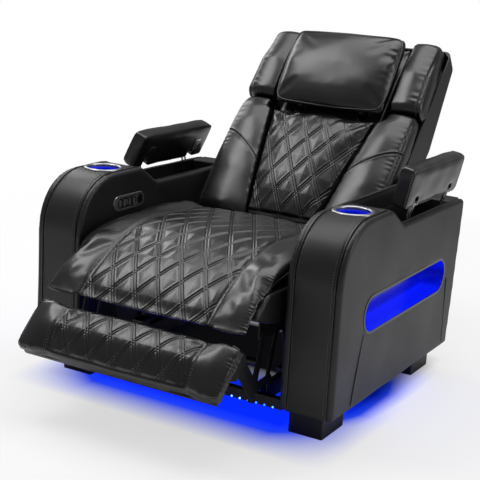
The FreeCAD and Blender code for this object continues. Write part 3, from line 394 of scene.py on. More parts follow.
def moulded_plastic(name, dark, light, low, high):
    """Injection-moulded black ABS with a fine spark-eroded texture: even and slightly matt."""
    material, tree, surface, place = new_material(name)
    # The eroded texture is about 0.3 mm across; it is drawn at 2 mm, so that it shows.
    pits = put(tree, "ShaderNodeTexNoise", {"Vector": place}, Scale=per_metre(2.0), Detail=3.0).outputs[0]
    wear = put(tree, "ShaderNodeTexNoise", {"Vector": place}, Scale=per_metre(50.0), Detail=4.0).outputs[0]
    put(tree, "ShaderNodeValToRGB", {"Fac": wear}, surface["Base Color"], stops=((0.0, dark), (1.0, light)))
    put(tree, "ShaderNodeMapRange", {"Value": wear}, surface["Roughness"], numbers=(0.0, 1.0, low, high))
    put(tree, "ShaderNodeBump", {"Height": pits}, surface["Normal"], Strength=0.2, Distance=0.1 * MM)
    return material


def plywood():
    """Birch plywood, uncoated: pale brown with long grain lines."""
    material, tree, surface, place = new_material("birch_plywood")
    drawn = put(tree, "ShaderNodeMapping", {"Vector": place}, Scale=(0.06, 1.0, 1.0)).outputs[0]
    grain = put(tree, "ShaderNodeTexNoise", {"Vector": drawn}, Scale=per_metre(5.0), Detail=8.0).outputs[0]
    put(tree, "ShaderNodeValToRGB", {"Fac": grain}, surface["Base Color"],
        stops=((0.0, "#6d4e31"), (1.0, "#a8835a")))
    put(tree, "ShaderNodeMapRange", {"Value": grain}, surface["Roughness"], numbers=(0.0, 1.0, 0.55, 0.75))
    put(tree, "ShaderNodeBump", {"Height": grain}, surface["Normal"], Strength=0.3, Distance=0.2 * MM)
    return material


def elastic():
    """Woven elastic webbing: a close black weave with raised ribs along it."""
    material, tree, surface, place = new_material("woven_elastic", Roughness=0.8)
    ribs = put(tree, "ShaderNodeTexWave", {"Vector": place}, Scale=per_metre(12.0),
               bands_direction="X").outputs["Fac"]
    put(tree, "ShaderNodeValToRGB", {"Fac": ribs}, surface["Base Color"],
        stops=((0.0, "#0c0c0c"), (1.0, "#26262a")))
    put(tree, "ShaderNodeBump", {"Height": ribs}, surface["Normal"], Strength=0.6, Distance=0.6 * MM)
    return material


def glowing(name, deep, bright, strength):
    """Frosted acrylic with blue LEDs behind it: a strong even glow, a little brighter in spots."""
    material, tree, surface, place = new_material(name, Emission_Strength=strength, Roughness=0.3)
    spots = put(tree, "ShaderNodeTexNoise", {"Vector": place}, Scale=per_metre(30.0), Detail=1.0).outputs[0]
    glow = put(tree, "ShaderNodeValToRGB", {"Fac": spots}, surface["Emission Color"],
               stops=((0.35, deep), (0.65, bright)))
    tree.links.new(glow.outputs[0], surface["Base Color"])
    return material


def cup_with_painted_glow():
    """Pressed aluminium cup: a bright brushed flange over a near-black wall, on which the blue light from
    below is painted as a glow."""
    material, tree, surface, place = new_material("aluminium_cup_painted_glow", Metallic=1.0, Emission_Strength=1.0)
    height = put(tree, "ShaderNodeSeparateXYZ", {"Vector": place}).outputs["Z"]
    share = put(tree, "ShaderNodeMapRange", {"Value": height},
                numbers=(cup_low[2] * MM, cup_high[2] * MM, 0.0, 1.0)).outputs[0]
    # Painted blue light: a dim navy glow low on the wall, a brighter painted band just under the flange, none
    # on the flange.
    put(tree, "ShaderNodeValToRGB", {"Fac": share}, surface["Emission Color"], stops=(
        (0.0, "#000018"), (0.7, "#00001e"), (0.8, "#0410a8"), (0.88, "#081cd8"), (0.9, "#000000"),
        (1.0, "#000000")))
    marks = put(tree, "ShaderNodeTexNoise", {"Vector": place}, Scale=per_metre(4.0), Detail=4.0).outputs[0]
    metal = put(tree, "ShaderNodeValToRGB", {"Fac": marks}, stops=((0.0, "#b9babd"), (1.0, "#dcdde0")))
    # The wall below the flange is made near-black; the flange keeps the metal colour.
    dark_wall = put(tree, "ShaderNodeValToRGB", {"Fac": share}, stops=(
        (0.0, "#0c0c14"), (0.84, "#0c0c14"), (0.9, "#ffffff"), (1.0, "#ffffff")))
    put(tree, "ShaderNodeVectorMath", {0: metal.outputs[0], 1: dark_wall.outputs[0]}, surface["Base Color"],
        operation="MULTIPLY")
    put(tree, "ShaderNodeMapRange", {"Value": marks}, surface["Roughness"], numbers=(0.0, 1.0, 0.26, 0.38))
    return material


def control_face():
    """Die-cast zinc frame, brushed and plated, round a recessed inlay of black gloss acrylic."""
    material, tree, surface, place = new_material("plated_frame_and_inlay")
    depth = put(tree, "ShaderNodeSeparateXYZ", {"Vector": place}).outputs["X"]
    inlay_x, frame_x = panel_low[0] * MM + 0.0012, panel_low[0] * MM + 0.0022
    raised = put(tree, "ShaderNodeMapRange", {"Value": depth}, surface["Metallic"],
                 numbers=(inlay_x, frame_x, 0.0, 1.0)).outputs[0]
    drawn = put(tree, "ShaderNodeMapping", {"Vector": place}, Scale=(1.0, 0.1, 1.0)).outputs[0]
    lines = put(tree, "ShaderNodeTexNoise", {"Vector": drawn}, Scale=per_metre(1.5), Detail=4.0).outputs[0]
    metal = put(tree, "ShaderNodeValToRGB", {"Fac": lines}, stops=((0.0, "#8f9094"), (1.0, "#c6c7ca")))
    pick = put(tree, "ShaderNodeMix", {"Factor": raised}, data_type="RGBA")
    inlay, outer = (socket for socket in pick.inputs if socket.type == "RGBA")
    inlay.default_value = linear("#060607")
    tree.links.new(metal.outputs[0], outer)
    picked = next(socket for socket in pick.outputs if socket.type == "RGBA")
    tree.links.new(picked, surface["Base Color"])
    put(tree, "ShaderNodeMapRange", {"Value": lines}, surface["Roughness"], numbers=(0.0, 1.0, 0.2, 0.36))
    return material


def tray_with_painted_glow():
    """Glossy black plastic tray with the blue light of the strip above painted on as a glow: bright along its
    top and its floor, with a dark lip that stands proud of the arm."""
    material, tree, surface, place = new_material("gloss_tray_painted_glow", Base_Color=linear("#07070c"))
    parts = put(tree, "ShaderNodeSeparateXYZ", {"Vector": place}).outputs
    share = put(tree, "ShaderNodeMapRange", {"Value": parts["Z"]},
                numbers=(niche_low[2] * MM, niche_high[2] * MM, 0.0, 1.0)).outputs[0]
    # Painted blue light from the strip: brightest along the top and the floor of the tray.
    put(tree, "ShaderNodeValToRGB", {"Fac": share}, surface["Emission Color"], stops=(
        (0.0, "#000ed2"), (0.1, "#0618f0"), (0.22, "#0008b4"), (0.5, "#00069a"), (0.8, "#0414e0"),
        (1.0, "#0018f0")))
    # No painted glow on the lip that stands proud of the arm.
    reach = put(tree, "ShaderNodeMath", {0: parts["X"]}, operation="ABSOLUTE").outputs[0]
    put(tree, "ShaderNodeMapRange", {"Value": reach}, surface["Emission Strength"],
        numbers=((outer_x - 1.0) * MM, outer_x * MM, 1.0, 0.0))
    uneven = put(tree, "ShaderNodeTexNoise", {"Vector": place}, Scale=per_metre(25.0), Detail=2.0).outputs[0]
    put(tree, "ShaderNodeMapRange", {"Value": uneven}, surface["Roughness"], numbers=(0.0, 1.0, 0.12, 0.24))
    return material


LEATHER = leather("black_top_grain_leather", "#0b0b0c", "#131314", 0.28, 0.38, 0.25, 0.32)
PANEL_LEATHER = leather("black_panel_leather", "#0e0e0f", "#151516", 0.42, 0.52, 0.2, 0.08)
WELT = leather("black_welt_leather", "#0b0b0c", "#141415", 0.3, 0.4, 0.2, 0.2)
CUP = cup_with_painted_glow()
CONTROLS = control_face()
THREAD = thread()
ALUMINIUM = brushed_aluminium()
NICKEL = bright_steel()
COATED = coated_steel()
PLASTIC = moulded_plastic("black_moulded_abs", "#0b0b0c", "#161618", 0.42, 0.6)
GLOSS_PLASTIC = moulded_plastic("black_gloss_abs", "#08080a", "#101013", 0.16, 0.26)
PLYWOOD = plywood()
ELASTIC = elastic()
LED = glowing("blue_led_lens", "#1c4cff", "#5a8cff", 6.0)
CUP_GLOW = glowing("cup_floor_glow", "#00048c", "#0814d2", 0.1)
TRAY = tray_with_painted_glow()

# Each finish with the words in the names of the nodes that have it
finishes = (
    (PLASTIC, "storage_bin cross_rails floor_light feet power_box glide_shoes _motor carriage"),
    (COATED, "glide_rails seat_side_plates _links cross_tube footrest_brackets back_frame headrest_plate"),
    (NICKEL, "lid_leaves lid_hinge_brackets"), (CUP, "cup_holder"), (CUP_GLOW, "cup_lights"),
    (TRAY, "niche_tray"), (LED, "niche_lights"), (PLYWOOD, "arm_base_boards"), (ELASTIC, "seat_webbing"),
    (GLOSS_PLASTIC, "charge_socket"), (CONTROLS, "control_plate"), (ALUMINIUM, "button"),
    (PANEL_LEATHER, "footrest_board back_shell"),
)


def dress_nodes():
    """Gives every node of the frame its finish; those that a soft piece replaces get leather."""
    for name, obj in frame["nodes"].items():
        found = [material for material, words in finishes if any(word in name for word in words.split())]
        obj.data.materials.clear()
        obj.data.materials.append(found[0] if found else LEATHER)


# Soft pieces

def stuff(obj, pressure, cap, held):
    """Blows a closed cover up from inside, as its filling does, while the held points stay."""
    start = points_of(obj)
    cloth = obj.modifiers.new("stuffing", "CLOTH")
    settings = cloth.settings
    settings.quality = 4
    settings.mass = 0.4
    settings.tension_stiffness = settings.compression_stiffness = 25.0
    settings.bending_stiffness = 12.0
    settings.use_pressure = True
    settings.uniform_pressure_force = pressure
    settings.effector_weights.gravity = 0.0
    group = obj.vertex_groups.new(name="held")
    group.add([int(i) for i in np.nonzero(held)[0]], 1.0, "REPLACE")
    settings.vertex_group_mass = "held"
    cloth.point_cache.frame_start, cloth.point_cache.frame_end = 1, cloth_frames
    scene = bpy.context.scene
    for number in range(1, cloth_frames + 1):
        scene.frame_set(number)
    blown = obj.evaluated_get(bpy.context.evaluated_depsgraph_get()).data
    co = np.empty(len(blown.vertices) * 3, np.float32)
    blown.vertices.foreach_get("co", co)
    move = co.reshape(-1, 3).astype(float) / MM - start
    length = np.linalg.norm(move, axis=1, keepdims=True)
    move *= np.minimum(1.0, cap / np.maximum(length, 1e-6))
    obj.modifiers.remove(cloth)
    obj.vertex_groups.clear()
    set_points(obj, start + move)
    scene.frame_set(1)


def held_under(lean, low, high):
    """Holds a pad's boarded side: all of it that is lower than this out of its face."""
    return lambda points: 1.0 - step(lean.local(points)[2], low, high)


def pad(name, node, body, detail, held, voxel=6.0, shrink=4.0, cap=22.0, pressure=4.0,
        keep=None, finer=True):
    """A stuffed piece that stands for a soft node: remeshed, drawn in, blown up, then sewn."""
    obj = copy_of(node, name)
    remesh(obj, voxel)
    relax(obj, 3)
    points, normals = points_of(obj), normals_of(obj)
    still = held(points)
    set_points(obj, points - normals * shrink * (1.0 - still[:, None]))
    stuff(obj, pressure, cap, still > 0.5)
    relax(obj, 12)
    if keep is not None:
        set_points(obj, keep(points_of(obj)))
    if finer:
        subdivide(obj)
    points, normals = points_of(obj), normals_of(obj)
    set_points(obj, points + normals * detail(points)[:, None])
    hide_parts(node)
    finish_piece(obj, LEATHER, body)
    return obj


def seam_height(off):
    """Height across a double-stitched seam: a ridge, a stitched groove and a lip on each side of it,
    then the puffed field."""
    return (field_puff * (1.0 - bell(off, field_reach)) + ridge_height * bell(off, ridge_width)
            - groove_depth * bell(off - groove_off, groove_width)
            + lip_height * bell(off - lip_off, lip_width))


def channel(u, s):
    """Height of the quilting: double-stitched seams that cross in diamonds."""
    across = diamond_width * diamond_height / math.hypot(diamond_width, diamond_height)
    lines = [u / diamond_width + sign * s / diamond_height for sign in (1.0, -1.0)]
    return np.minimum(*[seam_height(np.abs(line - np.round(line)) * across) for line in lines])


def quilted_panel(name, body, under, columns, rows, locate, height):
    """A sewn panel laid on a pad: locate gives points above the pad and the ways down to it."""
    tree = tree_of(under)
    deselect()
    bpy.ops.mesh.primitive_grid_add(x_subdivisions=columns, y_subdivisions=rows, size=2.0)
    obj = bpy.context.object
    obj.name = obj.data.name = name
    a, b, _ = (points_of(obj) * MM).T
    starts, downs = locate(a, b)
    laid = starts.copy()
    for i, (start, down) in enumerate(zip(starts, downs)):
        hit = tree.ray_cast(Vector(start * MM), Vector(down), 0.2)[0]
        if hit is None:
            hit = tree.find_nearest(Vector((start + down * 50.0) * MM))[0]
        laid[i] = np.array(hit) / MM
    set_points(obj, laid)
    relax(obj, 6)
    set_points(obj, points_of(obj) - downs * (quilt_lift + height(a, b))[:, None])
    middle = len(obj.data.polygons) // 2
    if np.dot(np.array(obj.data.polygons[middle].normal), downs[len(downs) // 2]) > 0:
        obj.data.flip_normals()
    finish_piece(obj, LEATHER, body)


def tube(name, places, radius, body, closed=False):
    """A welt or wire along a list of places."""
    curve = bpy.data.curves.new(name, "CURVE")
    curve.dimensions = "3D"
    curve.bevel_depth = radius * MM
    curve.bevel_resolution = 2
    curve.use_fill_caps = True
    spline = curve.splines.new("POLY")
    spline.points.add(len(places) - 1)
    for point, place in zip(spline.points, places):
        point.co = (*(np.array(place) * MM), 1.0)
    spline.use_cyclic_u = closed
    choose(new_object(name, curve))
    bpy.ops.object.convert(target="MESH")
    finish_piece(bpy.context.object, WELT, body)


def along(places, pitch):
    """Points every pitch millimetres along a run of places, each with its direction."""
    places = np.array(places)
    reached = reached_at(places)
    at = np.arange(pitch / 2, reached[-1], pitch)
    ahead, behind = between(at + 1.0, reached, places), between(at - 1.0, reached, places)
    return between(at, reached, places), unit(ahead - behind)


def shape_of(add, **sizes):
    """Corners in millimetres and faces of one primitive, which is then copied many times."""
    deselect()
    add(**sizes)
    obj = bpy.context.object
    shape = points_of(obj), [tuple(p.vertices) for p in obj.data.polygons]
    bpy.data.objects.remove(obj)
    return shape


def copies(name, shape, places, turns):
    """One mesh made of copies of a small shape, each turned and put in its place."""
    corners, faces = shape
    points = np.einsum("nij,kj->nki", turns, corners) + np.array(places)[:, None, :]
    moved = [tuple(i + n * len(corners) for i in face) for n in range(len(places)) for face in faces]
    data = bpy.data.meshes.new(name)
    data.from_pydata((points.reshape(-1, 3) * MM).tolist(), [], moved)
    return new_object(name, data)


def stitches(name, runs, body):
    """Rows of thread stitches along runs of places on the leather."""
    corners, faces = shape_of(bpy.ops.mesh.primitive_uv_sphere_add, segments=6, ring_count=5, radius=MM)
    strand = corners * (stitch_length / 2, stitch_width, stitch_width)
    pairs = [along(run, stitch_pitch) for run in runs if len(run) > 2]
    spots = np.concatenate([spot for spot, _ in pairs])
    ways = np.concatenate([way for _, way in pairs])
    sides = unit(np.cross(ways, (0.31, 0.17, 0.93)))
    turns = np.stack([ways, sides, np.cross(ways, sides)], axis=2)
    finish_piece(copies(name, (strand, faces), spots, turns), THREAD, body)


def onto(tree, starts, downs, lift, reach=200.0):
    """Where rays from the starts meet a surface, lifted off it a little."""
    places = []
    for start, down in zip(starts, np.broadcast_to(downs, np.shape(starts))):
        hit, normal, _, _ = tree.ray_cast(Vector(np.array(start) * MM), Vector(down), reach * MM)
        if hit is not None:
            places.append(np.array(hit) / MM + np.array(normal) * lift)
    return places


# Seat

def seat_line():
    """The crest of the seat from under its nose to its back edge, smoothed, with outward normals."""
    corners = np.array([(-556.0, 300.0), (-567.0, 310.0), (-500.0, 367.0), (-404.0, 430.0),
                        (-318.0, 447.0), (-170.0, 445.0), (20.0, 433.0), (92.0, 421.0)])
    reached = reached_at(corners)
    at = np.linspace(0.0, reached[-1], 400)
    apart = at[:, None] - at[None, :]
    weights = bell(apart, 16.0)
    line = weights @ between(at, reached, corners) / weights.sum(axis=1, keepdims=True)
    way = unit(np.gradient(line, axis=0))
    normal = np.stack([-way[:, 1], way[:, 0]], axis=1)
    return at, line, unit(bell(apart, 40.0) @ normal)


seat_at, seat_crest, seat_normal = seat_line()
seat_length = seat_at[-1]


def seat_spot(x, s, above=50.0):
    """Points above the seat at lengths s along its crest, and the ways down to the seat."""
    x, s = np.broadcast_arrays(x, s)
    (y, z), (ny, nz) = (between(s, seat_at, run).T for run in (seat_crest, seat_normal))
    return (np.stack([x, y + ny * above, z + nz * above], axis=-1),
            np.stack([np.zeros_like(y), -ny, -nz], axis=-1))


def seat_detail(points):
    x, y, z = points.T
    side = np.abs(x)
    top = step(z, 300.0, 330.0)
    move = -5.5 * (1.0 - step(side, seat_quilt_half - 8, seat_quilt_half - 1)) * top
    move -= 3.5 * bell(side - seat_quilt_half, 4.5) * top
    lobe = step(y, -190.0, -120.0) * (1.0 - step(y, 70.0, 100.0)) * step(side, 205.0, 245.0)
    move += 7.0 * lobe * top
    front = 1.0 - step(y, -420.0, -360.0)
    move += 0.9 * gathers(y + z, side - 290.0, 14.0, 13.0, 3) * front * np.where(x > 0, 1.0, 0.5)
    move += 0.5 * ripple(points, 110.0, 11) * top
    return move


def seat_held(points):
    """The boarded underside: the whole lower part, but only the bottom of the nose."""
    behind = step(points[:, 1], -470.0, -440.0)
    low, lowest = (1.0 - step(points[:, 2], *ends) for ends in ((372.0, 384.0), (308.0, 318.0)))
    return behind * low + (1.0 - behind) * lowest


def seat_keep(points):
    kept = points.copy()
    kept[:, 0] = np.clip(kept[:, 0], -seat_half, seat_half)
    kept[:, 1] = np.minimum(kept[:, 1], seat_back_y)
    return kept


def make_seat():
    pad_obj = pad("seat_pad", "seat_cushion", "seat", seat_detail, seat_held, shrink=5.0, keep=seat_keep)
    half = seat_quilt_half - 1.0

    def height(a, b):
        x, s = a * half, (b + 1) / 2 * seat_length
        inside = step(half - np.abs(x), 0.0, 9.0) * step(np.minimum(s, seat_length - s), 0.0, 10.0)
        return (channel(x, s) + 2.5) * inside - 3.0 * (1.0 - inside)

    quilted_panel("seat_quilt", "seat", pad_obj, 230, 400,
                  lambda a, b: seat_spot(a * half, (b + 1) / 2 * seat_length), height)
    tree = tree_of(pad_obj)
    seam = np.linspace(10, seat_length - 12, 120)
    edge = np.linspace(6, seat_length * 0.62, 90)
    rows = []
    for side, word in SIDES:
        for off in stitch_rows:
            rows.append(onto(tree, *seat_spot(side * (seat_quilt_half + off), seam), 0.2))
        run = onto(tree, seat_spot(side * 340.0, edge, -28.0)[0], (-side, 0.0, 0.0), 0.4)
        tube(f"{word}_seat_welt", run, piping_radius, "seat")
    stitches("seat_seam_stitches", rows, "seat")


# Footrest

def rest_detail(points):
    x, up, out = REST.local(points)
    side = np.abs(x)
    face = step(out, 50.0, 62.0)
    move = -4.5 * (1.0 - step(side, rest_quilt_half - 7, rest_quilt_half - 1)) * face
    move -= 3.5 * bell(side - rest_quilt_half, 4.5) * face
    move += 0.4 * gathers(up, side - 292.0, 13.0, 9.0, 5)
    move += 0.4 * ripple(points, 110.0, 12)
    return move


def make_footrest():
    pad_obj = pad("footrest_cover", "footrest_pad", "footrest", rest_detail,
                  held_under(REST, 30.0, 36.0), voxel=5.0)
    half, low, high = rest_quilt_half - 1.0, -143.0, 9.0

    def height(a, b):
        x, s = a * half, low + (b + 1) / 2 * (high - low)
        rim = step(half - np.abs(x), 0.0, 9.0)
        end = step(np.minimum(s - low, high - s), 0.0, 12.0)
        return (channel(x, s) + 2.0) * rim * (0.3 + 0.7 * end) - 3.0 * (1.0 - rim)

    def locate(a, b):
        turn = b * 0.9
        ways = -(np.multiply.outer(np.cos(turn), REST.out) + np.multiply.outer(np.sin(turn), REST.up))
        middle = REST.world(a * half, (low + high) / 2 + b * (high - low) * 0.275, 40.0)
        return middle - ways * 90.0, ways

    quilted_panel("footrest_quilt", "footrest", pad_obj, 245, 130, locate, height)
    tree = tree_of(pad_obj)
    rows = [onto(tree, REST.world(side * (rest_quilt_half + off), np.linspace(-140, 6, 40), 140.0),
                 -REST.out, 0.2) for side in (-1, 1) for off in stitch_rows]
    for side, word in SIDES:
        starts = REST.world(side * 345.0, np.linspace(-143, 9, 50), 52.0)
        tube(f"{word}_footrest_welt", onto(tree, starts, (-side, 0.0, 0.0), 0.4), piping_radius, "footrest")
    stitches("footrest_seam_stitches", rows, "footrest")


# Back

def quilt_half_at(up):
    share = np.clip((up - back_quilt_low) / (back_quilt_high - back_quilt_low), 0.0, 1.0)
    return back_quilt_halves[0] + (back_quilt_halves[1] - back_quilt_halves[0]) * share


def back_detail(points):
    face = step(BACK.local(points)[2], 80.0, 92.0)
    return -4.0 * face + 0.6 * ripple(points, 90.0, 21)


def bolster_seam(side):
    """Height of the curved seam across a bolster, by distance from the middle."""
    return 258.0 - 92.0 * np.clip((300.0 - side) / 150.0, 0.0, 1.4) ** 1.5


def bolster_detail(points):
    x, up, out = BACK.local(points)
    side = np.abs(x)
    face = step(out, 60.0, 80.0)
    move = -2.6 * bell(up - bolster_seam(side), 3.2) * face
    move += 1.1 * bell(np.abs(up - bolster_seam(side)) - 5.5, 2.6) * face
    move -= 2.2 * bell(side - 287.0, 3.5) * step(out, 50.0, 70.0)
    move += 0.5 * gathers(up, side - 280.0, 19.0, 16.0, 31) * face
    move += 0.4 * gathers(side, up - bolster_seam(side), 26.0, 12.0, 33) * face
    return move + 0.5 * ripple(points, 120.0, 22)


def wing_detail(points):
    x, up, out = BACK.local(points)
    side = np.abs(x)
    face = step(out, 60.0, 80.0)
    move = -2.4 * bell(side - 282.0, 3.5) * step(out, 50.0, 70.0)
    move += 0.6 * gathers(up, side - 272.0, 24.0, 15.0, 41) * face
    move += 0.3 * gathers(side, up - 410.0, 21.0, 12.0, 43) * face
    return move + 0.5 * ripple(points, 110.0, 23)


def back_row(tree, at, up):
    """Places on the front of a back pad, seen square to the back."""
    return onto(tree, BACK.world(at, up, 220.0), -BACK.out, 0.2)


def make_back():
    centre = pad("back_pad", "back_cushion", "back", back_detail, held_under(BACK, 44.0, 50.0), shrink=3.0)

    def spread(b):
        up = back_quilt_low + 4 + (b + 1) / 2 * (back_quilt_high - back_quilt_low + 6)
        return up, quilt_half_at(up) - 2.0

    def height(a, b):
        up, half = spread(b)
        inside = step(half * (1 - np.abs(a)), 0.0, 9.0) * step(up - back_quilt_low - 4, 0.0, 12.0)
        return (channel(a * half, up) + 2.0) * inside - 4.0 * (1.0 - inside)

    def locate(a, b):
        up, half = spread(b)
        starts = BACK.world(a * half, up, 190.0)
        return starts, np.broadcast_to(-BACK.out, starts.shape)

    quilted_panel("back_quilt", "back", centre, 215, 240, locate, height)
    for side, word in SIDES:
        held = held_under(BACK, 40.0, 46.0)
        bolster = pad(f"{word}_bolster_pad", f"{word}_back_bolster", "back", bolster_detail, held)
        wing = pad(f"{word}_wing_pad", f"{word}_head_wing", "back", wing_detail, held, voxel=5.0)
        tree, wing_tree = tree_of(bolster), tree_of(wing)
        low, high = np.linspace(-10, 385, 60), np.linspace(418, 655, 40)
        across = np.linspace(180, 292, 26)
        rows = [back_row(tree, side * 281.0, low), back_row(tree, side * 292.0, low),
                back_row(tree, side * (quilt_half_at(low) + 7.0), low),
                back_row(tree, side * across, bolster_seam(across) + 6.0),
                back_row(wing_tree, side * 276.0, high), back_row(wing_tree, side * 287.0, high)]
        stitches(f"{word}_back_stitches", rows, "back")


# Headrest

def head_detail(points):
    x, up, out = HEAD.local(points)
    face = step(out, 100.0, 112.0)
    move = 1.3 * gathers(up, np.abs(x) - 180.0, 27.0, 26.0, 51) * np.where(x > 0, 1.0, 0.35) * face
    move += 0.4 * gathers(x, up - 391.0, 37.0, 18.0, 54) * face
    return move + 0.7 * ripple(points, 150.0, 24)


def head_keep(points):
    kept = points.copy()
    kept[:, 0] = np.clip(kept[:, 0], -pillow_half, pillow_half)
    return kept


def make_headrest():
    pillow = pad("headrest_cover", "headrest_pillow", "headrest", head_detail,
                 held_under(HEAD, 78.0, 84.0), voxel=5.0, shrink=6.0, keep=head_keep)
    half, low, high, seam_out = 189.0, 386.0, 650.0, 96.0
    turn = np.linspace(0, 2 * math.pi, 240, endpoint=False)
    grow = 1.0 / np.maximum(np.abs(np.cos(turn)), np.abs(np.sin(turn)))
    x, up = np.cos(turn) * grow * half, np.sin(turn) * grow * (high - low) / 2
    starts, ends = (HEAD.world(x * size, (low + high) / 2 + up * size, seam_out) for size in (1.6, 0.2))
    places = onto(tree_of(pillow), starts, unit(ends - starts), 0.6, 400.0)
    tube("headrest_welt", places, piping_radius, "headrest", closed=True)


# Lids

def lid_detail(points):
    return 0.7 * ripple(points, 60.0, 61)


def lid_turn(side, word):
    """How a closed lid's points and ways turn into its open place."""
    t = math.radians(-joints[f"{word}_lid_hinge"]["range_deg"][0])
    about_y = np.array(((math.cos(t), 0.0, math.sin(t)), (0.0, 1.0, 0.0),
                        (-math.sin(t), 0.0, math.cos(t))))
    pin = np.abs(joint_place(f"{word}_lid_hinge"))
    mirrored = np.array((side, 1.0, 1.0))

    def place(points):
        return ((np.array(points) - pin) @ about_y.T + pin) * mirrored

    def way(vector):
        vector = np.array(vector) / np.linalg.norm(vector)
        return (about_y @ vector) * mirrored
    return place, way


def make_lids():
    """Padded lids with a welt round the top and stitches below it."""
    x0, x1, y0, y1, top = outer_x - 118.0, outer_x - 2.0, -25.0, 350.0, 560.0
    ys, xs = np.linspace(y0 + 14, y1 - 14, 60), np.linspace(x1 - 12, x0 + 12, 16)
    away = 40.0
    for side, word in SIDES:
        cover = pad(f"{word}_lid_cover", f"{word}_lid_pad", f"{word}_lid", lid_detail,
                    lambda p: np.zeros(len(p)), voxel=4.0, shrink=2.0, cap=3.0, pressure=1.5,
                    finer=False)
        tree = tree_of(cover)
        place, way = lid_turn(side, word)
        welt, row = [], []
        for x, y, out in ((x1, ys, (1, 0)), (xs, y1, (0, 1)), (x0, ys[::-1], (-1, 0)),
                          (xs[::-1], y0, (0, -1))):
            x, y = np.broadcast_arrays(x, y)
            for found, rise, down in ((welt, away, -1.0), (row, -9.0, 0.0)):
                starts = np.stack([x + out[0] * away, y + out[1] * away,
                                   np.full(len(x), top + rise)], axis=1)
                found += onto(tree, place(starts), way((-out[0], -out[1], down)), 0.3)
        tube(f"{word}_lid_welt", welt, lid_piping_radius, f"{word}_lid", closed=True)
        stitches(f"{word}_lid_stitches", [row], f"{word}_lid")


def make_hinge_rings():
    """Bright washers on both sides of each hinge knuckle."""
    ring = shape_of(bpy.ops.mesh.primitive_torus_add, major_segments=32, minor_segments=10,
                    major_radius=6.2 * MM, minor_radius=1.5 * MM)
    pin = np.abs(joint_place("right_lid_hinge"))
    places = [(side * pin[0], y + off, pin[2]) for side in (-1, 1)
              for y in knuckle_ys for off in (-knuckle_half, knuckle_half)]
    upright = np.array(((1.0, 0.0, 0.0), (0.0, 0.0, 1.0), (0.0, -1.0, 0.0)))
    rings = copies("lid_hinge_rings", ring, places, np.broadcast_to(upright, (len(places), 3, 3)))
    finish_piece(rings, NICKEL, "base")


def make_cup_rings():
    """Domed trim rings that cover the cups' flanges."""
    for side, word in SIDES:
        deselect()
        bpy.ops.mesh.primitive_torus_add(
            major_segments=96, minor_segments=20, major_radius=cup_ring_radius * MM,
            minor_radius=cup_ring_thickness * MM,
            location=(side * cup_x * MM, cup_y * MM, (deck_z + 0.8) * MM))
        ring = bpy.context.object
        ring.name = ring.data.name = f"{word}_cup_ring"
        bpy.ops.object.mode_set(mode="EDIT")
        bpy.ops.mesh.select_all(action="SELECT")
        bpy.ops.transform.resize(value=(1.0, 1.0, 0.85))
        bpy.ops.object.mode_set(mode="OBJECT")
        bpy.ops.object.transform_apply(location=True, rotation=True, scale=True)
        finish_piece(ring, ALUMINIUM, "base")


# Upholstered boards

def board_cover(name, node, body, voxel, swell, seed):
    """Leather over thin foam on a board: soft edges and a face that is not quite flat."""
    obj = copy_of(node, name)
    remesh(obj, voxel)
    relax(obj, 4)
    points, normals = points_of(obj), normals_of(obj)
    set_points(obj, points + normals * (swell * ripple(points, 160.0, seed) + 0.6)[:, None])
    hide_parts(node)
    finish_piece(obj, PANEL_LEATHER, body)


def arm_outline(notched):
    """Side outline of an arm from the bottom of its front over the nose to its back rim."""
    front, top = arm_low[1], deck_z
    run = [(front, arm_bottom + 4.0), (front, top - nose_radius)]
    for i in range(1, 25):
        t = math.pi / 2 * i / 24
        run.append((front + nose_radius * (1 - math.cos(t)), top - nose_radius + nose_radius * math.sin(t)))
    if notched:
        run += [(deck_end_y - 8.0, top), (deck_end_y + 4.0, top - 3.5), (notch_foot_y - 10.0, rim_z + 5.5),
                (notch_foot_y + 4.0, rim_z - 1.4), (arm_high[1] - 12.0, rim_z - 1.4)]
    else:
        run += [(arm_high[1] - 70.0, top)]
    return run


def make_arms():
    for side, word in SIDES:
        for part, board, swell, seed in (("outer", "outer_panel", 0.5, 70), ("inner", "inner_panel", 0.4, 73),
                                         ("band", "front_band", 0.5, 76)):
            board_cover(f"{word}_{part}_leather", f"{word}_arm_{board}", "base", 5.0, swell, seed + side)
        rows = []
        for edge, inward, notched in ((outer_seam_x, -1, True), (inner_seam_x, 1, side < 0)):
            run = arm_outline(notched)
            tube(f"{word}_arm_welt_{'outer' if inward < 0 else 'inner'}",
                 [(side * edge, y, z + 0.4) for y, z in run], piping_radius, "base")
            band = [p for p in run if p[0] < deck_end_y]
            rows.append([(side * (edge + inward * 7.0), y - 0.5 * (z < deck_z - 100), z + 0.9)
                         for y, z in band])
        stitches(f"{word}_arm_stitches", rows, "base")
        for number, ((y0, z0), (y1, z1)) in enumerate(side_seams):
            run = [(side * (outer_x + 0.9), y0 + (y1 - y0) * t, z0 + (z1 - z0) * t)
                   for t in np.linspace(0, 1, 12)]
            tube(f"{word}_side_seam_{number}", run, side_seam_radius, "base")
    board_cover("rear_board_leather", "rear_cover", "base", 6.0, 0.5, 81)
    board_cover("arm_rear_leather", "arm_rear_panels", "base", 5.0, 0.4, 82)
    board_cover("seat_frame_leather", "seat_frame", "seat", 6.0, 0.4, 84)


# Small parts

def led_points(name, places, radius):
    """Small round lenses over the diodes of a light strip."""
    lens = shape_of(bpy.ops.mesh.primitive_uv_sphere_add, segments=12, ring_count=8, radius=radius * MM)
    points = copies(name, lens, places, np.broadcast_to(np.eye(3), (len(places), 3, 3)))
    finish_piece(points, LED, "base")


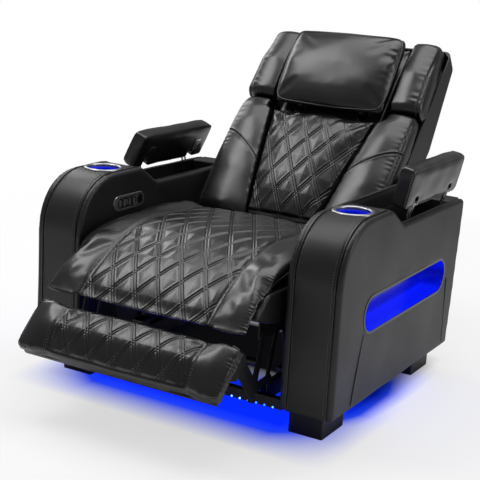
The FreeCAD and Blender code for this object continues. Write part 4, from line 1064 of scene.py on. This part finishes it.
def make_lights():
    led_points("front_led_points", [(x, strip_low[1] - 0.4, strip_low[2] + 2.6)
                                    for x in np.arange(-288.0, 289.0, 24.0)], 2.6)
    led_points("side_led_points", [(side * side_light_x, y, strip_low[2] + 2.0)
                                   for side in (-1, 1) for y in np.arange(-190.0, 231.0, 60.0)], 1.8)
    led_points("niche_led_points", [(side * (outer_x - 22.0), y, niche_high[2] - 8.0)
                                    for side in (-1, 1) for y in np.arange(-170.0, 221.0, 78.0)], 2.4)


dress_nodes()
make_hinge_rings()
make_cup_rings()
make_seat()
make_footrest()
make_back()
make_headrest()
make_lids()
make_arms()
make_lights()


# Studio

def lamp(name, place, aim, width, height, power, colour=(1.0, 1.0, 1.0)):
    data = bpy.data.lights.new(name, "AREA")
    data.shape = "RECTANGLE"
    data.size, data.size_y = width, height
    data.energy = power
    data.color = colour
    turn = (Vector(aim) - Vector(place)).to_track_quat("-Z", "Y").to_matrix().to_4x4()
    new_object(name, data).matrix_world = Matrix.Translation(place) @ turn


def floor_block(tree, place, across, along):
    """A share of 1 on a rectangle of the floor and of its mirror image, which fades outside it: each
    pair gives where it starts to rise and is full, then where it starts to fall and is gone."""
    parts = put(tree, "ShaderNodeSeparateXYZ", {"Vector": place}).outputs
    reach = put(tree, "ShaderNodeMath", {0: parts["X"]}, operation="ABSOLUTE").outputs[0]
    share = None
    for value, (rise, fall) in ((reach, across), (parts["Y"], along)):
        for low, high, ends in ((0.0, 1.0, rise), (1.0, 0.0, fall)):
            edge = put(tree, "ShaderNodeMapRange", {"Value": value}, numbers=(*ends, low, high)).outputs[0]
            share = edge if share is None else \
                put(tree, "ShaderNodeMath", {0: share, 1: edge}, operation="MULTIPLY").outputs[0]
    return share


def make_floor():
    """A white floor that keeps a soft shadow of the object, with a painted pool of blue light from the light
    strips in front of it and beside it, and a painted shadow, near black, under the middle of it. The camera
    sees it partly as light near the object, and as pure white from 2.6 metres on."""
    deselect()
    bpy.ops.mesh.primitive_plane_add(size=60.0)
    floor = bpy.context.object
    floor.name = "studio_floor"
    material = bpy.data.materials.new("studio_floor_white")
    material.use_nodes = True
    tree = material.node_tree
    tree.nodes.clear()
    place = put(tree, "ShaderNodeTexCoord").outputs["Object"]
    # Painted blue light: patches of floor in front of the chair and beside it, where the strips would shine.
    front = floor_block(tree, place, ((-0.2, -0.1), (0.28, 0.5)), ((-0.5, -0.31), (-0.12, 0.02)))
    painted_side_glow = floor_block(tree, place, ((0.28, 0.37), (0.39, 0.475)), ((-0.34, -0.12), (0.06, 0.34)))
    painted_glow_share = put(tree, "ShaderNodeMath", {0: front, 1: painted_side_glow}, operation="MAXIMUM").outputs[0]
    # The painted blue light goes into the floor's colour, from white to deep blue.
    colour = put(tree, "ShaderNodeValToRGB", {"Fac": painted_glow_share}, stops=(
        (0.0, "#ffffff"), (0.35, "#bcc2ff"), (0.7, "#2a50ff"), (1.0, "#0a34ff"))).outputs[0]
    # Painted shadow: the floor under the middle of the chair is made near black.
    under = floor_block(tree, place, ((-0.2, -0.1), (0.36, 0.44)), ((-0.12, 0.02), (0.34, 0.46)))
    shade = put(tree, "ShaderNodeValToRGB", {"Fac": under}, stops=((0.0, "#ffffff"), (1.0, "#101012")))
    painted_glow_and_shadow = put(tree, "ShaderNodeVectorMath", {0: colour, 1: shade.outputs[0]},
                 operation="MULTIPLY").outputs[0]
    paint = put(tree, "ShaderNodeBsdfDiffuse", {"Color": painted_glow_and_shadow})
    moved = put(tree, "ShaderNodeMapping", {"Vector": place}, vector_type="TEXTURE", Scale=(2.6, 2.6, 1.0))
    fade = put(tree, "ShaderNodeTexGradient", {"Vector": moved.outputs[0]}, gradient_type="SPHERICAL")
    far = put(tree, "ShaderNodeMapRange", {"Value": fade.outputs["Fac"]}, numbers=(0.0, 0.65, 1.0, 0.64))
    # The light that the camera sees near the object carries the painted blue light and painted shadow as
    # well.
    white = put(tree, "ShaderNodeEmission", {"Color": painted_glow_and_shadow}, Strength=1.0)
    seen = put(tree, "ShaderNodeMixShader", {0: far.outputs[0], 1: paint.outputs[0], 2: white.outputs[0]})
    path = put(tree, "ShaderNodeLightPath").outputs["Is Camera Ray"]
    pick = put(tree, "ShaderNodeMixShader", {0: path, 1: paint.outputs[0], 2: seen.outputs[0]})
    put(tree, "ShaderNodeOutputMaterial", {"Surface": pick.outputs[0]})
    floor.data.materials.append(material)


def make_world():
    world = bpy.data.worlds.new("studio")
    bpy.context.scene.world = world
    world.use_nodes = True
    tree = world.node_tree
    tree.nodes.clear()
    soft = put(tree, "ShaderNodeBackground", Color=(1.0, 1.0, 1.0, 1.0), Strength=0.22)
    white = put(tree, "ShaderNodeBackground", Color=(1.0, 1.0, 1.0, 1.0), Strength=1.0)
    path = put(tree, "ShaderNodeLightPath").outputs["Is Camera Ray"]
    pick = put(tree, "ShaderNodeMixShader", {0: path, 1: soft.outputs[0], 2: white.outputs[0]})
    put(tree, "ShaderNodeOutputWorld", {"Surface": pick.outputs[0]})


def make_camera():
    """The photograph's view: a long lens at head height, rolled a few degrees."""
    data = bpy.data.cameras.new("camera")
    data.lens, data.sensor_width = 86.25, 36.0
    data.clip_end = 100.0
    obj = new_object("camera", data)
    bpy.context.scene.camera = obj
    around, above, roll = math.radians(29.8), math.radians(14.1), math.radians(3.3)
    back = Vector((math.sin(around) * math.cos(above), -math.cos(around) * math.cos(above),
                   math.sin(above)))
    right = Vector((math.cos(around), math.sin(around), 0.0))
    up = back.cross(right)
    right, up = (right * math.cos(roll) + up * math.sin(roll),
                 up * math.cos(roll) - right * math.sin(roll))
    place = Vector((-0.089, 0.070, 0.353)) + back * 3.365
    turn = Matrix((right, up, back)).transposed().to_4x4()
    obj.matrix_world = Matrix.Translation(place) @ turn


def make_lamps():
    lamp("overhead", (0.2, 0.5, 3.0), (0.0, 0.0, 0.4), 2.2, 2.0, 40.0)
    lamp("right_side", (2.8, 0.4, 1.5), (0.2, 0.0, 0.5), 0.9, 2.0, 18.0)
    lamp("left_back", (-2.4, 1.2, 2.0), (0.0, 0.0, 0.5), 1.0, 1.8, 20.0)
    lamp("key", (-1.4, -0.55, 2.8), (0.0, -0.1, 0.5), 1.2, 1.2, 27.0)
    lamp("front_glow", (0.0, -0.30, 0.066), (0.0, -0.27, 0.0), 0.58, 0.1, 0.7, (0.005, 0.1, 1.0))
    for side, word in SIDES:
        x = side * side_light_x * MM
        lamp(f"side_glow_{word}", (x, 0.03, 0.066), (x + side * 0.1, 0.03, 0.0), 0.42, 0.02, 0.14,
             (0.01, 0.03, 1.0))


make_floor()
make_world()
make_lamps()
make_camera()
bpy.context.scene.view_settings.view_transform = "Standard"
